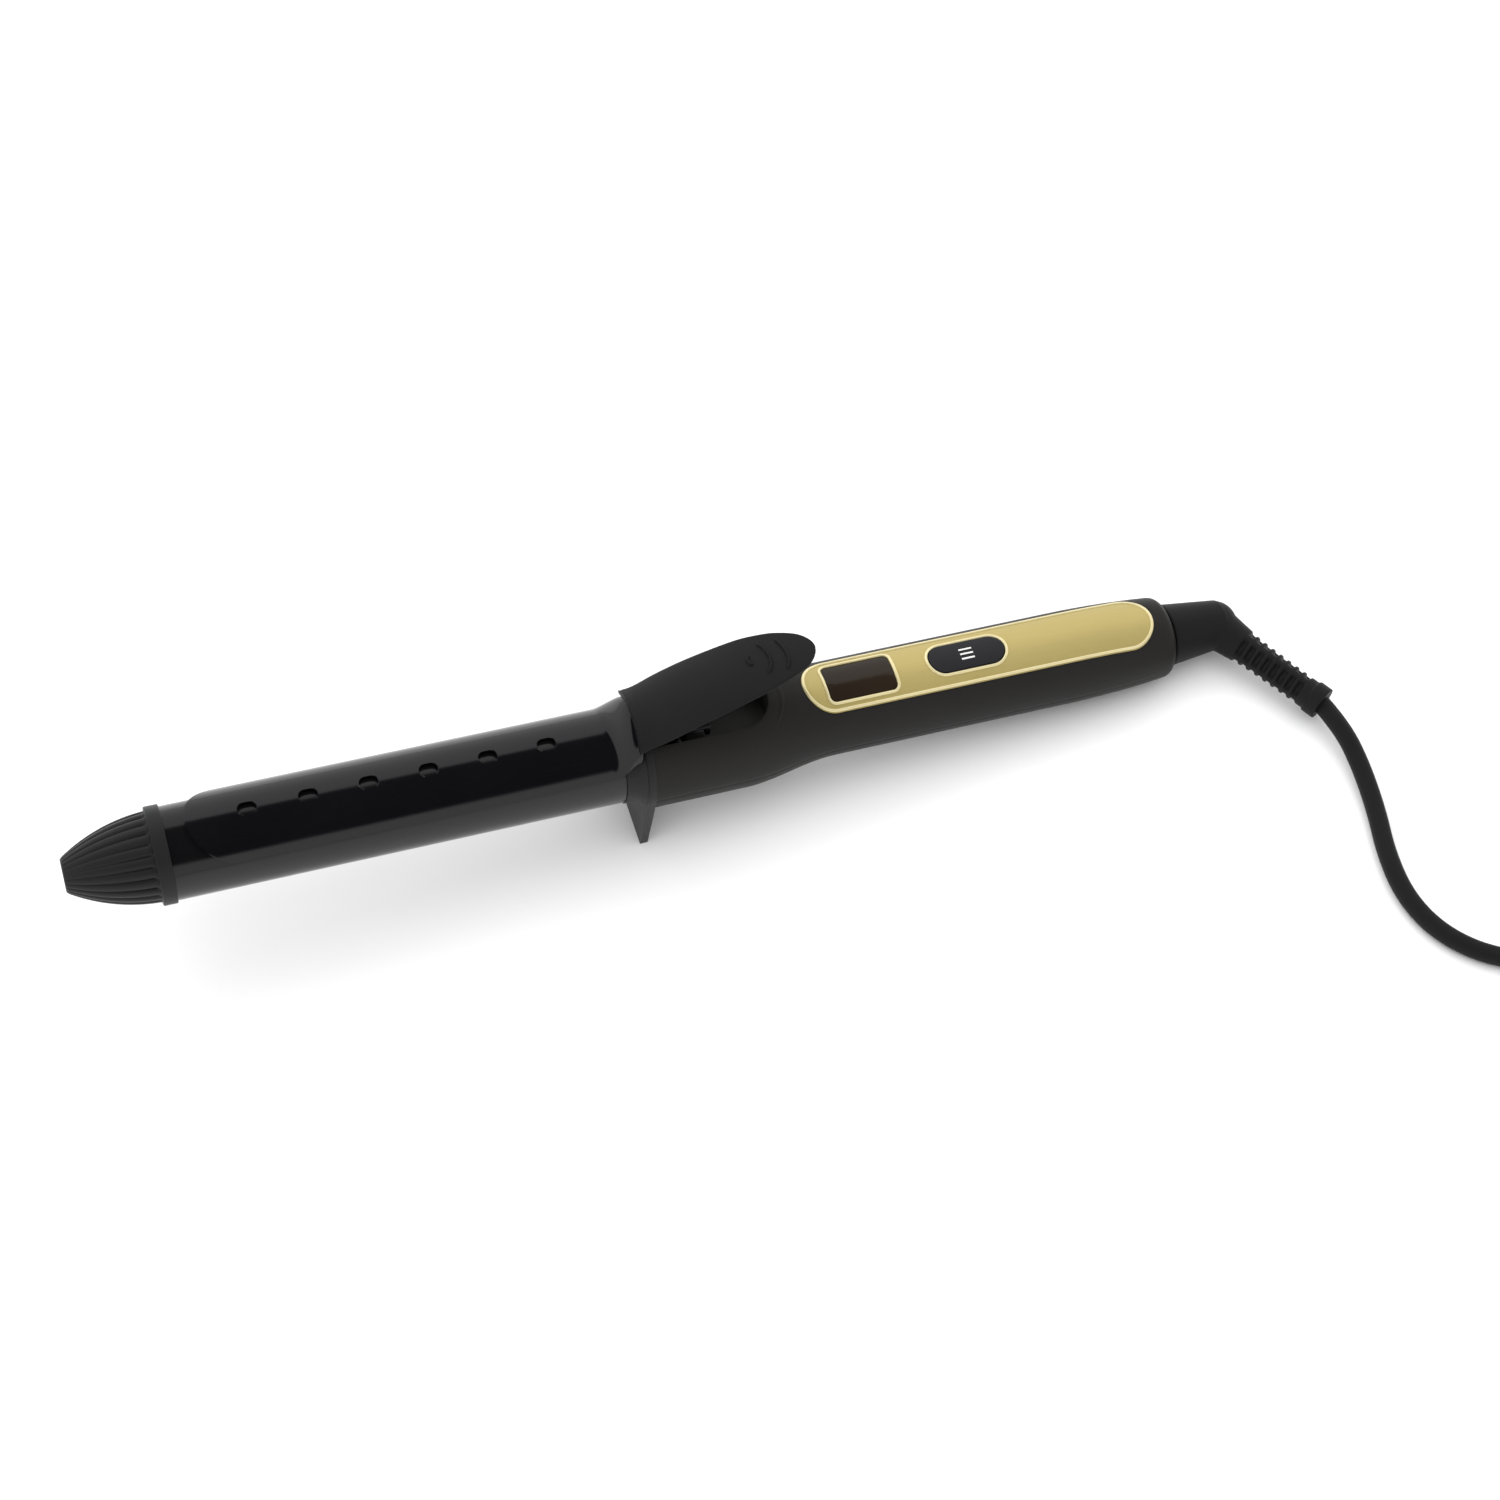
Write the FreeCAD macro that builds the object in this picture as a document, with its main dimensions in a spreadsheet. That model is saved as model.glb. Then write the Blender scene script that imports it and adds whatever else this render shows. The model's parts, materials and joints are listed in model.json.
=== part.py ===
import FreeCAD, Part
import Sketcher
import math
import os

from FreeCAD import Placement, Rotation, Vector

# A curling iron. It is drawn level, about its own axis: +X runs from the cool tip to the cord,
# x = 0 is the rear face of the stand plate (the front of the handle), and +Z is the clip side.
# At the end every sub-part gets the same rest placement, which tips the iron on to its foot and
# the rear of its handle, with the floor at z = 0.

doc = FreeCAD.newDocument("curling_iron")

sizes = {
    # barrel and cool tip
    "barrel_diameter": 25.4,
    "barrel_wall": 1.2,
    "barrel_reach": 131.7,
    "barrel_seat": 1.0,
    "ring_diameter": 26.7,
    "ring_width": 3.9,
    "ring_overlap": 2.0,
    "ring_round": 0.5,
    "tip_length": 27.3,
    "tip_root_radius": 12.3,
    "tip_end_radius": 5.0,
    "tip_bow": 45.5,
    "tip_chamfer": 0.6,
    "spigot_length": 5.7,
    "spigot_wall": 2.2,
    "tip_cavity": 12.0,
    "plug_thickness": 4.0,
    "plug_boss_radius": 4.0,
    "tip_screw_radius": 1.2,
    "tip_screw_grip": 8.0,
    "fit_gap": 0.05,
    "free_gap": 0.35,
    # heater
    "heater_front": 112.0,
    "heater_rear": 40.0,
    "heater_slot": 2.6,
    "heater_plate": 2.4,
    "heater_plate_width": 14.0,
    "heater_gap": 0.2,
    "sensor_radius": 0.9,
    "sensor_length": 4.0,
    "fuse_radius": 1.8,
    "fuse_length": 10.0,
    # stand plate
    "plate_thickness": 2.2,
    "plate_radius": 16.0,
    "collar_length": 5.3,
    "collar_root": 0.35,
    "collar_flare": 2.4,
    "collar_bow": 6.0,
    "foot_depth": 27.0,
    "foot_width": 26.2,
    "foot_blend": 3.5,
    "notch_width": 16.4,
    "bush_neck_radius": 5.4,
    "bush_bore_radius": 4.0,
    "bush_flange_radius": 12.0,
    "bush_throat_radius": 10.4,
    "bush_flat": 5.4,
    "bush_insert": 13.0,
    "bush_tail": 24.0,
    "bush_flange": 1.6,
    # handle
    "handle_length": 156.5,
    "neck_radius": 15.9,
    "grip_width": 26.7,
    "grip_height": 25.6,
    "grip_lift": 1.6,
    "step_start": 27.0,
    "step_length": 26.0,
    "handle_corner": 3.2,
    "taper_start": 124.0,
    "taper_width": 1.9,
    "taper_height": 1.4,
    "handle_wall": 1.8,
    "seam_drop": 1.1,
    "recess_width": 16.0,
    "recess_length": 35.0,
    "recess_floor": 7.0,
    "recess_wall": 1.6,
    "recess_sheet": 1.2,
    # trim panel, window and button
    "panel_start": 45.4,
    "panel_length": 105.0,
    "panel_width": 16.6,
    "panel_depth": 0.8,
    "panel_proud": 0.12,
    "window_start": 52.2,
    "window_length": 19.6,
    "window_width": 11.4,
    "window_corner": 1.6,
    "window_depth": 1.9,
    "button_start": 82.6,
    "button_length": 22.2,
    "button_width": 8.6,
    "button_proud": 0.3,
    "button_gap": 0.35,
    "button_flange": 0.8,
    # clip
    "clip_gap": 0.4,
    "clip_wall": 1.0,
    "clip_front": 124.5,
    "clip_angle": 57.0,
    "hump_start": 11.0,
    "hump_end": 3.6,
    "hump_radius": 11.3,
    "hump_centre": 8.8,
    "hump_angle": 73.0,
    "tongue_end": 2.0,
    "tongue_angle": 45.0,
    "vent_first": 108.0,
    "vent_pitch": 16.15,
    "vent_count": 6,
    "vent_length": 5.2,
    "vent_width": 3.9,
    "pivot_x": 8.0,
    "pivot_z": 10.0,
    "pin_radius": 1.25,
    "pin_length": 19.0,
    "pin_running_gap": 0.05,
    "bracket_front": 5.4,
    "bracket_rear": 17.0,
    "bracket_width": 12.4,
    "bracket_level": 14.4,
    "bracket_sheet": 1.2,
    "ear_radius": 2.6,
    "ear_gap": 8.8,
    "tail_foot": 11.5,
    "rivet_radius": 1.2,
    "rivet_head": 2.0,
    "rivet_head_height": 0.7,
    "rivet_x": 1.5,
    "rivet_y": 4.0,
    "lever_screw_front": 5.0,
    "lever_screw_rear": 13.0,
    "lever_boss_radius": 2.2,
    "spring_radius": 2.45,
    "spring_bore": 1.7,
    "spring_width": 6.0,
    "spring_wire": 0.35,
    # electronics
    "board_front": 50.0,
    "board_rear": 126.0,
    "board_width": 17.0,
    "board_level": 3.0,
    "board_sheet": 1.6,
    "display_height": 6.3,
    "switch_size": 6.0,
    "switch_height": 3.4,
    "plunger_radius": 1.5,
    "plunger_height": 2.0,
    "plunger_proud": 1.0,
    "chip_start": 105.0,
    "chip_side": 7.0,
    "chip_height": 1.2,
    "capacitor_start": 98.0,
    "capacitor_length": 13.0,
    "capacitor_width": 6.0,
    "capacitor_height": 8.0,
    "triac_start": 80.0,
    "triac_length": 10.0,
    "triac_width": 9.0,
    "triac_height": 4.4,
    "lead_radius": 0.8,
    "thin_lead_radius": 0.4,
    # covers' screws
    "screw_shank": 1.3,
    "screw_head": 2.4,
    "screw_pilot": 1.15,
    "boss_radius": 3.6,
    "screw_cross_length": 3.2,
    "screw_cross_width": 0.7,
    "screw_cross_depth": 0.8,
    "screw_head_room": 1.6,
    "screw_head_sink": 1.4,
    "screw_pilot_depth": 7.0,
    "seam_reach": 2.0,
    "small_head": 2.0,
    "small_head_height": 1.2,
    "small_grip": 4.0,
    "press_gap": 0.01,
    # swivel
    "swivel_stub_radius": 9.0,
    "swivel_ball_radius": 7.0,
    "swivel_ball_x": 172.6,
    "swivel_neck_radius": 6.0,
    "swivel_gap": 0.5,
    "swivel_bush_radius": 9.0,
    "swivel_bush_length": 6.0,
    "swivel_flange_radius": 8.0,
    "swivel_flange": 2.5,
    "swivel_core_radius": 4.0,
    "swivel_core_length": 10.0,
    "slip_ring_wall": 0.8,
    "slip_ring_width": 2.5,
    "elbow_angle": 58.7,
    "relief_length": 39.0,
    "relief_root_radius": 4.95,
    "elbow_flare_radius": 6.4,
    "elbow_flare_length": 14.0,
    "relief_end_radius": 4.3,
    "relief_collar": 4.0,
    "relief_collar_wall": 0.6,
    "holder_front": 4.0,
    "holder_rear": 9.5,
    "holder_width": 9.0,
    "holder_depth": 8.4,
    "finger_sheet": 0.4,
    "finger_length": 8.0,
    "finger_post": 0.5,
    # cord
    "cord_diameter": 5.4,
    "coil_outer": 84.0,
    "coil_inner": 49.6,
    "coil_height": 17.2,
    "tie_thickness": 0.5,
    "tie_width": 6.0,
    "plug_length": 26.0,
    "plug_width": 24.0,
    "plug_height": 18.0,
    "plug_relief": 12.0,
    "plug_corner": 3.0,
    "plug_relief_tip": 1.2,
    "plug_relief_root": 3.0,
    "tie_turn": 135.0,
    "blade_length": 17.5,
    "blade_height": 6.35,
    "blade_thickness": 1.5,
    "blade_spacing": 12.7,
    "blade_hole_radius": 1.6,
    "blade_hole_inset": 4.5,
}

sheet = doc.addObject("Spreadsheet::Sheet", "Sizes")
for row, (alias, value) in enumerate(sizes.items(), 1):
    sheet.set(f"A{row}", alias)
    sheet.set(f"B{row}", str(value))
    sheet.setAlias(f"B{row}", alias)
doc.recompute()

probe = doc.addObject("Part::Vertex", "probe")
keep = []
ALONG_X = Rotation(Vector(0, 1, 0), 90)
ALONG_Y = Rotation(Vector(1, 0, 0), -90)
UPRIGHT = Rotation()


def mm(alias):
    """The sheet's value for a size."""
    return float(sheet.get(alias))


def worth(formula):
    """The number that a formula of the sheet's sizes comes to."""
    probe.setExpression("X", formula)
    probe.recompute()
    return probe.X.Value


def part(item, label):
    """Marks an object as a finished sub-part. A single box or cylinder is held in a compound, which
    leaves the sub-part's own placement free."""
    if item.TypeId in ("Part::Box", "Part::Cylinder"):
        item.Label = label + "_piece"
        item = group(label + "_holder", item)
    item.Label = label
    keep.append(item)
    return item


def place(item, at, turn=UPRIGHT):
    """Turns an object and binds its position to the sheet."""
    item.Placement = Placement(Vector(), turn)
    for axis, formula in zip("xyz", at):
        item.setExpression("Placement.Base." + axis, formula)
    return item


def rod(name, radius, length, at, turn=ALONG_X):
    item = doc.addObject("Part::Cylinder", name)
    item.setExpression("Radius", radius)
    item.setExpression("Height", length)
    return place(item, at, turn)


def block(name, span, at):
    item = doc.addObject("Part::Box", name)
    for side, formula in zip(("Length", "Width", "Height"), span):
        item.setExpression(side, formula)
    return place(item, at)


def cut(name, base, tool):
    item = doc.addObject("Part::Cut", name)
    item.Base = base
    item.Tool = tool
    return item


def join(name, *pieces):
    item = doc.addObject("Part::MultiFuse", name)
    item.Shapes = list(pieces)
    return item


def group(name, *pieces):
    item = doc.addObject("Part::Compound", name)
    item.Links = list(pieces)
    return item


def plain(label, shape):
    """A sub-part whose shape is made directly from the sheet's sizes."""
    item = doc.addObject("Part::Feature", label)
    item.Shape = shape
    return part(item, label)


def drawn(body, role, corners):
    """A closed sketch on one of the body's origin planes. A corner is (across, up) or
    (across, up, radius), and then an arc runs to the next corner, bulging to the left of its chord
    if the radius is positive."""
    sketch = body.newObject("Sketcher::SketchObject", body.Name + "_outline")
    plane = [one for one in body.Origin.OriginFeatures if one.Role == role][0]
    sketch.AttachmentSupport = [(plane, "")]
    sketch.MapMode = "FlatFace"
    spots = [Vector(worth(corner[0]), worth(corner[1]), 0) for corner in corners]
    starts = []
    for number, corner in enumerate(corners):
        start = spots[number]
        end = spots[(number + 1) % len(corners)]
        if len(corner) == 3:
            radius = worth(corner[2])
            chord = end - start
            side = Vector(-chord.y, chord.x, 0).normalize()
            rise = abs(radius) - math.sqrt(radius ** 2 - (chord.Length / 2) ** 2)
            middle = (start + end) / 2 + side * math.copysign(rise, radius)
            sketch.addGeometry(Part.Arc(start, middle, end), False)
            first = 1 if sketch.getPoint(number, 1).distanceToPoint(start) < 1e-6 else 2
        else:
            sketch.addGeometry(Part.LineSegment(start, end), False)
            first = 1
        starts.append(first)
    for number, corner in enumerate(corners):
        after = (number + 1) % len(corners)
        link = Sketcher.Constraint("Coincident", number, 3 - starts[number], after, starts[after])
        sketch.addConstraint(link)
        for kind, spot, formula, axis in (
            ("DistanceX", spots[number].x, corner[0], -2),
            ("DistanceY", spots[number].y, corner[1], -1),
        ):
            if formula == "0":
                sketch.addConstraint(Sketcher.Constraint("PointOnObject", number, starts[number], axis))
                continue
            tie = Sketcher.Constraint(kind, -1, 1, number, starts[number], spot)
            index = sketch.addConstraint(tie)
            sketch.setExpression(f"Constraints[{index}]", formula)
        if len(corner) == 3:
            bend = Sketcher.Constraint("Radius", number, abs(worth(corner[2])))
            index = sketch.addConstraint(bend)
            sketch.setExpression(f"Constraints[{index}]", f"abs({corner[2]})")
    return sketch


def turned(label, corners):
    """A body turned about the iron's axis from (x, radius) corners."""
    body = doc.addObject("PartDesign::Body", label)
    profile = drawn(body, "XZ_Plane", corners)
    turn = body.newObject("PartDesign::Revolution", label + "_turning")
    turn.Profile = profile
    turn.ReferenceAxis = (profile, ["H_Axis"])
    turn.Angle = 360
    return body


def tube(points, radius):
    """Straight runs joined by tangent arcs, each as large as its two runs allow."""
    edges = []
    radii = []
    last = points[0]
    for before, corner, after in zip(points, points[1:], points[2:]):
        inward = (before - corner).normalize()
        outward = (after - corner).normalize()
        half_turn = (math.pi - inward.getAngle(outward)) / 2
        setback = 0.45 * min((before - corner).Length, (after - corner).Length)
        radii.append(setback / math.tan(half_turn))
        start = corner + inward * setback
        end = corner + outward * setback
        bisector = (inward + outward).normalize()
        middle = corner + bisector * (radii[-1] / math.cos(half_turn) - radii[-1])
        edges.append(Part.LineSegment(last, start).toShape())
        edges.append(Part.Arc(start, middle, end).toShape())
        last = end
    edges.append(Part.LineSegment(last, points[-1]).toShape())
    path = Part.Wire(edges)
    ring = Part.Wire(Part.Circle(points[0], points[1] - points[0], radius).toShape())
    solid = path.makePipeShell([ring], True, False)
    expected = math.pi * radius ** 2 * path.Length
    if abs(solid.Volume - expected) > 0.01 * expected:
        raise ValueError("a tube's volume is not its section times its length")
    return solid, radii, path.Length


def smooth(share):
    share = min(max(share, 0.0), 1.0)
    return share * share * (3 - 2 * share)


# The handle's outer form: a round neck that steps down smoothly to an oval grip.

def handle_spans(x):
    """The handle's half width and half height, and the level of its middle."""
    share = smooth((x - mm("step_start")) / mm("step_length"))
    width = mm("neck_radius") + (mm("grip_width") / 2 - mm("neck_radius")) * share
    height = mm("neck_radius") + (mm("grip_height") / 2 - mm("neck_radius")) * share
    run_out = max(x - mm("taper_start"), 0) / (mm("handle_length") - mm("taper_start"))
    width -= mm("taper_width") * run_out ** 2
    height -= mm("taper_height") * run_out ** 2
    return width, height, mm("grip_lift") * share


def handle_ring(x, inset):
    width, height, level = handle_spans(x)
    middle = Vector(x, 0, level)
    height -= inset
    width = max(width - inset, height + 0.001)
    oval = Part.Ellipse(middle + Vector(0, width, 0), middle + Vector(0, 0, height), middle)
    return Part.Wire(oval.toShape())


def underside(x, across):
    """The level of the handle's underside, at a distance from its middle plane."""
    width, height, level = handle_spans(x)
    return level - height * math.sqrt(1 - (across / width) ** 2)


def handle_form(inset, front, rear, corner):
    step_start = mm("step_start")
    step_end = step_start + mm("step_length")
    taper_start = mm("taper_start")
    neck = Part.Face(handle_ring(front, inset)).extrude(Vector(step_start - front, 0, 0))
    stations = [step_start + mm("step_length") * index / 8 for index in range(9)]
    step = Part.makeLoft([handle_ring(x, inset) for x in stations], True, False)
    grip = Part.Face(handle_ring(step_end, inset)).extrude(Vector(taper_start - step_end, 0, 0))
    stations = [taper_start + (rear - taper_start) * index / 6 for index in range(7)]
    end = Part.makeLoft([handle_ring(x, inset) for x in stations], True, False)
    if corner > 0:
        rim = [edge for edge in end.Edges if edge.BoundBox.XMin > rear - 0.01]
        end = end.makeFillet(corner, rim)
    return neck.fuse([step, grip, end])


def seam_level(x):
    return handle_spans(x)[2] - mm("seam_drop")


def below_seam():
    """Everything under the parting surface of the two covers."""
    step_start = mm("step_start")
    step_end = step_start + mm("step_length")
    front = -mm("plate_radius")
    rear = mm("handle_length") + mm("plate_radius")
    reach = 2 * mm("foot_depth")
    crests = [step_start + mm("step_length") * index / 8 for index in range(9)]
    curve = Part.BSplineCurve()
    curve.interpolate([Vector(x, -reach, seam_level(x)) for x in crests])
    corners = [
        Vector(step_end, -reach, seam_level(step_end)),
        Vector(rear, -reach, seam_level(rear)),
        Vector(rear, -reach, -reach),
        Vector(front, -reach, -reach),
        Vector(front, -reach, seam_level(front)),
        Vector(step_start, -reach, seam_level(step_start)),
    ]
    edges = [curve.toShape()]
    edges += [Part.LineSegment(a, b).toShape() for a, b in zip(corners, corners[1:])]
    return Part.Face(Part.Wire(edges)).extrude(Vector(0, 2 * reach, 0))


def slotted(start, length, width, low, high):
    """An upright prism with round ends, along the iron's axis."""
    radius = width / 2
    bar = Part.makeBox(length - width, width, high - low, Vector(start + radius, -radius, low))
    ends = [
        Part.makeCylinder(radius, high - low, Vector(x, 0, low))
        for x in (start + radius, start + length - radius)
    ]
    return bar.fuse(ends).removeSplitter()


def rounded(start, length, width, corner, low, high):
    """An upright rectangular prism with round corners."""
    bar = Part.makeBox(length, width, high - low, Vector(start, -width / 2, low))
    upright = [edge for edge in bar.Edges if edge.BoundBox.ZLength > high - low - 0.01]
    return bar.makeFillet(corner, upright)


def between(outer_inset, inner_inset):
    """The layer between two insets of the handle's form."""
    front = 0.0
    rear = mm("handle_length") - mm("handle_corner")
    outer = handle_form(outer_inset, front, rear, 0)
    return outer.cut(handle_form(inner_inset, front - 1, rear + 1, 0))


# cool tip, its plug and screw

ring_rear = "-(Sizes.barrel_reach - Sizes.ring_overlap)"
ring_front = f"{ring_rear} - Sizes.ring_width"
tip_end = f"{ring_rear} - Sizes.tip_length"
barrel_front = "-Sizes.barrel_reach"
barrel_radius = "Sizes.barrel_diameter / 2"
barrel_bore = f"{barrel_radius} - Sizes.barrel_wall"
spigot_end = f"{barrel_front} + Sizes.spigot_length"
spigot_radius = f"{barrel_bore} - Sizes.fit_gap"
cavity_end = f"{spigot_end} - Sizes.tip_cavity"
screw_tip = f"{cavity_end} - Sizes.tip_screw_grip"
cavity_radius = f"{spigot_radius} - Sizes.spigot_wall"

cool_tip = turned("cool_tip", [
    (tip_end, "0"),
    (tip_end, "Sizes.tip_end_radius - Sizes.tip_chamfer"),
    (f"{tip_end} + Sizes.tip_chamfer", "Sizes.tip_end_radius", "Sizes.tip_bow"),
    (ring_front, "Sizes.tip_root_radius"),
    (ring_front, "Sizes.ring_diameter / 2 - Sizes.ring_round"),
    (f"{ring_front} + Sizes.ring_round", "Sizes.ring_diameter / 2"),
    (f"{ring_rear} - Sizes.ring_round", "Sizes.ring_diameter / 2"),
    (ring_rear, "Sizes.ring_diameter / 2 - Sizes.ring_round"),
    (ring_rear, f"{barrel_radius} + Sizes.fit_gap"),
    (f"{barrel_front} - Sizes.fit_gap", f"{barrel_radius} + Sizes.fit_gap"),
    (f"{barrel_front} - Sizes.fit_gap", spigot_radius),
    (spigot_end, spigot_radius),
    (spigot_end, cavity_radius),
    (cavity_end, cavity_radius),
    (cavity_end, "Sizes.tip_screw_radius"),
    (screw_tip, "Sizes.tip_screw_radius"),
    (screw_tip, "0"),
])
part(cool_tip, "cool_tip")

plug_rear = f"{spigot_end} + Sizes.fit_gap + Sizes.plug_thickness"
screw_hole = "Sizes.tip_screw_radius + Sizes.fit_gap"
tip_plug = turned("tip_plug", [
    (f"{cavity_end} + Sizes.fit_gap", screw_hole),
    (f"{cavity_end} + Sizes.fit_gap", "Sizes.plug_boss_radius"),
    (f"{spigot_end} + Sizes.fit_gap", "Sizes.plug_boss_radius"),
    (f"{spigot_end} + Sizes.fit_gap", spigot_radius),
    (plug_rear, spigot_radius),
    (plug_rear, screw_hole),
])
part(tip_plug, "tip_plug")

tip_screw = turned("tip_screw", [
    (f"{screw_tip} + Sizes.fit_gap", "0"),
    (f"{screw_tip} + Sizes.fit_gap", "Sizes.tip_screw_radius - Sizes.fit_gap"),
    (plug_rear, "Sizes.tip_screw_radius - Sizes.fit_gap"),
    (plug_rear, "2 * Sizes.tip_screw_radius"),
    (f"{plug_rear} + Sizes.tip_screw_radius", "2 * Sizes.tip_screw_radius"),
    (f"{plug_rear} + Sizes.tip_screw_radius", "0"),
])
part(tip_screw, "tip_screw")

# barrel and heater

barrel_rear = "-Sizes.barrel_seat"
barrel_tube = turned("barrel_tube", [
    (barrel_front, barrel_bore),
    (barrel_front, barrel_radius),
    (barrel_rear, barrel_radius),
    (barrel_rear, barrel_bore),
])
part(barrel_tube, "barrel_tube")

heater_length = "Sizes.heater_front - Sizes.heater_rear"
heater_radius = f"{barrel_bore} - Sizes.heater_gap"
core = rod("heater_core", heater_radius, heater_length, ("-Sizes.heater_front", "0", "0"))
core_slot = block(
    "heater_core_slot",
    (f"{heater_length} + 2", "Sizes.barrel_diameter", "Sizes.heater_slot"),
    ("-Sizes.heater_front - 1", "-Sizes.barrel_diameter / 2", "-Sizes.heater_slot / 2"),
)
part(cut("heater_carriers", core, core_slot), "heater_carriers")
ptc_plate = block(
    "ptc_heater",
    (heater_length, "Sizes.heater_plate_width", "Sizes.heater_plate"),
    ("-Sizes.heater_front", "-Sizes.heater_plate_width / 2", "-Sizes.heater_plate / 2"),
)
part(ptc_plate, "ptc_heater")
heater_rear = "-Sizes.heater_rear"
sensor_at = (f"{heater_rear} + Sizes.fit_gap", "0", "4 * Sizes.sensor_radius")
sensor = rod("temperature_sensor", "Sizes.sensor_radius", "Sizes.sensor_length", sensor_at)
part(sensor, "temperature_sensor")
fuse_at = (f"{heater_rear} + Sizes.fit_gap", "0", "-3 * Sizes.fuse_radius")
fuse = rod("thermal_fuse", "Sizes.fuse_radius", "Sizes.fuse_length", fuse_at)
part(fuse, "thermal_fuse")

# stand plate and barrel bush

plate_front = "-Sizes.plate_thickness"
collar_front = f"{plate_front} - Sizes.collar_length"
stand_bore = f"{barrel_radius} + Sizes.fit_gap"
throat = "Sizes.bush_throat_radius + Sizes.fit_gap"
stand_turning = turned("stand_turning", [
    (collar_front, stand_bore),
    (collar_front, f"{barrel_radius} + Sizes.collar_root", "-Sizes.collar_bow"),
    (plate_front, f"{barrel_radius} + Sizes.collar_flare"),
    (plate_front, "Sizes.plate_radius"),
    ("0", "Sizes.plate_radius"),
    ("0", throat),
    (barrel_rear, throat),
    (barrel_rear, stand_bore),
])


def floor_below(x):
    """The floor's level under a point of the iron's axis, in the level drawing."""
    return -mm("foot_depth") + x * math.tan(math.radians(rest_tilt))


# The iron rests on its foot and on the rear corner of its handle: the floor is the line from the
# foot's rear edge that touches that corner's arc.
corner_x = mm("handle_length") - mm("handle_corner")
corner_drop = mm("foot_depth") + underside(corner_x, 0) + mm("handle_corner")
corner_reach = math.hypot(corner_x, corner_drop)
corner_turn = math.asin(mm("handle_corner") / corner_reach)
rest_tilt = math.degrees(math.atan2(corner_drop, corner_x) - corner_turn)

half_foot = mm("foot_width") / 2
foot_shoulder = math.sqrt(mm("plate_radius") ** 2 - mm("foot_blend") ** 2)
plate_face = -mm("plate_thickness")
foot_corners = [
    Vector(plate_face, -foot_shoulder, -mm("foot_blend")),
    Vector(plate_face, -half_foot, -mm("foot_depth") - 1),
    Vector(plate_face, half_foot, -mm("foot_depth") - 1),
    Vector(plate_face, foot_shoulder, -mm("foot_blend")),
]
foot = Part.Face(Part.makePolygon(foot_corners + foot_corners[:1]))
foot = foot.extrude(Vector(mm("plate_thickness"), 0, 0))
bore_radius = mm("barrel_diameter") / 2 + mm("fit_gap")
forward = Vector(1, 0, 0)
foot_hole = Part.makeCylinder(bore_radius, -4 * plate_face, 2 * plate_face * forward, forward)
foot = foot.cut(foot_hole)
spare = 10
ground_corners = [
    Vector(-spare, -2 * half_foot, floor_below(-spare)),
    Vector(spare, -2 * half_foot, floor_below(spare)),
    Vector(spare, -2 * half_foot, floor_below(0) - spare),
    Vector(-spare, -2 * half_foot, floor_below(0) - spare),
]
ground = Part.Face(Part.makePolygon(ground_corners + ground_corners[:1]))
ground = ground.extrude(Vector(0, 4 * half_foot, 0))
doc.recompute()
notch_front = plate_face - mm("collar_length") - mm("free_gap")
notch_length = mm("free_gap") - notch_front
notch = Part.makeBox(
    notch_length, mm("notch_width"), mm("plate_radius"),
    Vector(notch_front, -mm("notch_width") / 2, bore_radius / 2),
)
notch = notch.cut(Part.makeCylinder(bore_radius, 2 * notch_length, 2 * notch_front * forward, forward))
stand = stand_turning.Shape.fuse(foot).cut(ground).cut(notch)
plain("stand_plate", stand.removeSplitter())

bush_radius = f"{barrel_bore} - Sizes.fit_gap"
flange_front = "Sizes.handle_wall + Sizes.fit_gap"
bush_turning = turned("bush_turning", [
    ("-Sizes.bush_insert", "Sizes.bush_bore_radius"),
    ("-Sizes.bush_insert", bush_radius),
    (f"{barrel_rear} - Sizes.fit_gap", bush_radius),
    (f"{barrel_rear} - Sizes.fit_gap", "Sizes.bush_throat_radius"),
    (flange_front, "Sizes.bush_throat_radius"),
    (flange_front, "Sizes.bush_flange_radius"),
    (f"{flange_front} + Sizes.bush_flange", "Sizes.bush_flange_radius"),
    (f"{flange_front} + Sizes.bush_flange", "Sizes.bush_neck_radius"),
    ("Sizes.bush_tail", "Sizes.bush_neck_radius"),
    ("Sizes.bush_tail", "Sizes.bush_bore_radius"),
])
bush_top = block(
    "bush_top",
    ("2 * Sizes.bush_tail", "4 * Sizes.bush_flange_radius", "Sizes.bush_flange_radius"),
    (plate_front, "-2 * Sizes.bush_flange_radius", "Sizes.bush_flat"),
)
part(cut("barrel_bush", bush_turning, bush_top), "barrel_bush")

# handle covers

length = mm("handle_length")
wall = mm("handle_wall")
tall = 2 * mm("plate_radius")
outer = handle_form(0, 0, length, mm("handle_corner"))
cavity = handle_form(wall, wall, length - wall, mm("handle_corner") - wall)
lower_space = below_seam()

recess_radius = mm("recess_width") / 2
recess_end = mm("recess_length")
recess_span = recess_end + 2 * recess_radius
slot_cut = slotted(-2 * recess_radius, recess_span, 2 * recess_radius, mm("recess_floor"), tall)
tray_wall = mm("recess_wall")
tray = slotted(
    -2 * recess_radius, recess_span + tray_wall, 2 * (recess_radius + tray_wall),
    mm("recess_floor") - mm("recess_sheet"), tall,
).common(outer)
throat_radius = mm("bush_throat_radius") + mm("fit_gap")
bush_hole = Part.makeCylinder(throat_radius, 2 * wall, Vector(-wall / 2, 0, 0), forward)
below_flat = Vector(-wall, -tall / 2, mm("bush_flat") + mm("fit_gap") - tall)
bush_hole = bush_hole.common(Part.makeBox(4 * wall, tall, tall, below_flat))

cover_screw_places = [(41.0, -7.4), (41.0, 7.4), (130.0, 0.0)]
board_screw_places = [76.4, 118.0]
board_top = mm("board_level") + mm("board_sheet")

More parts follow.
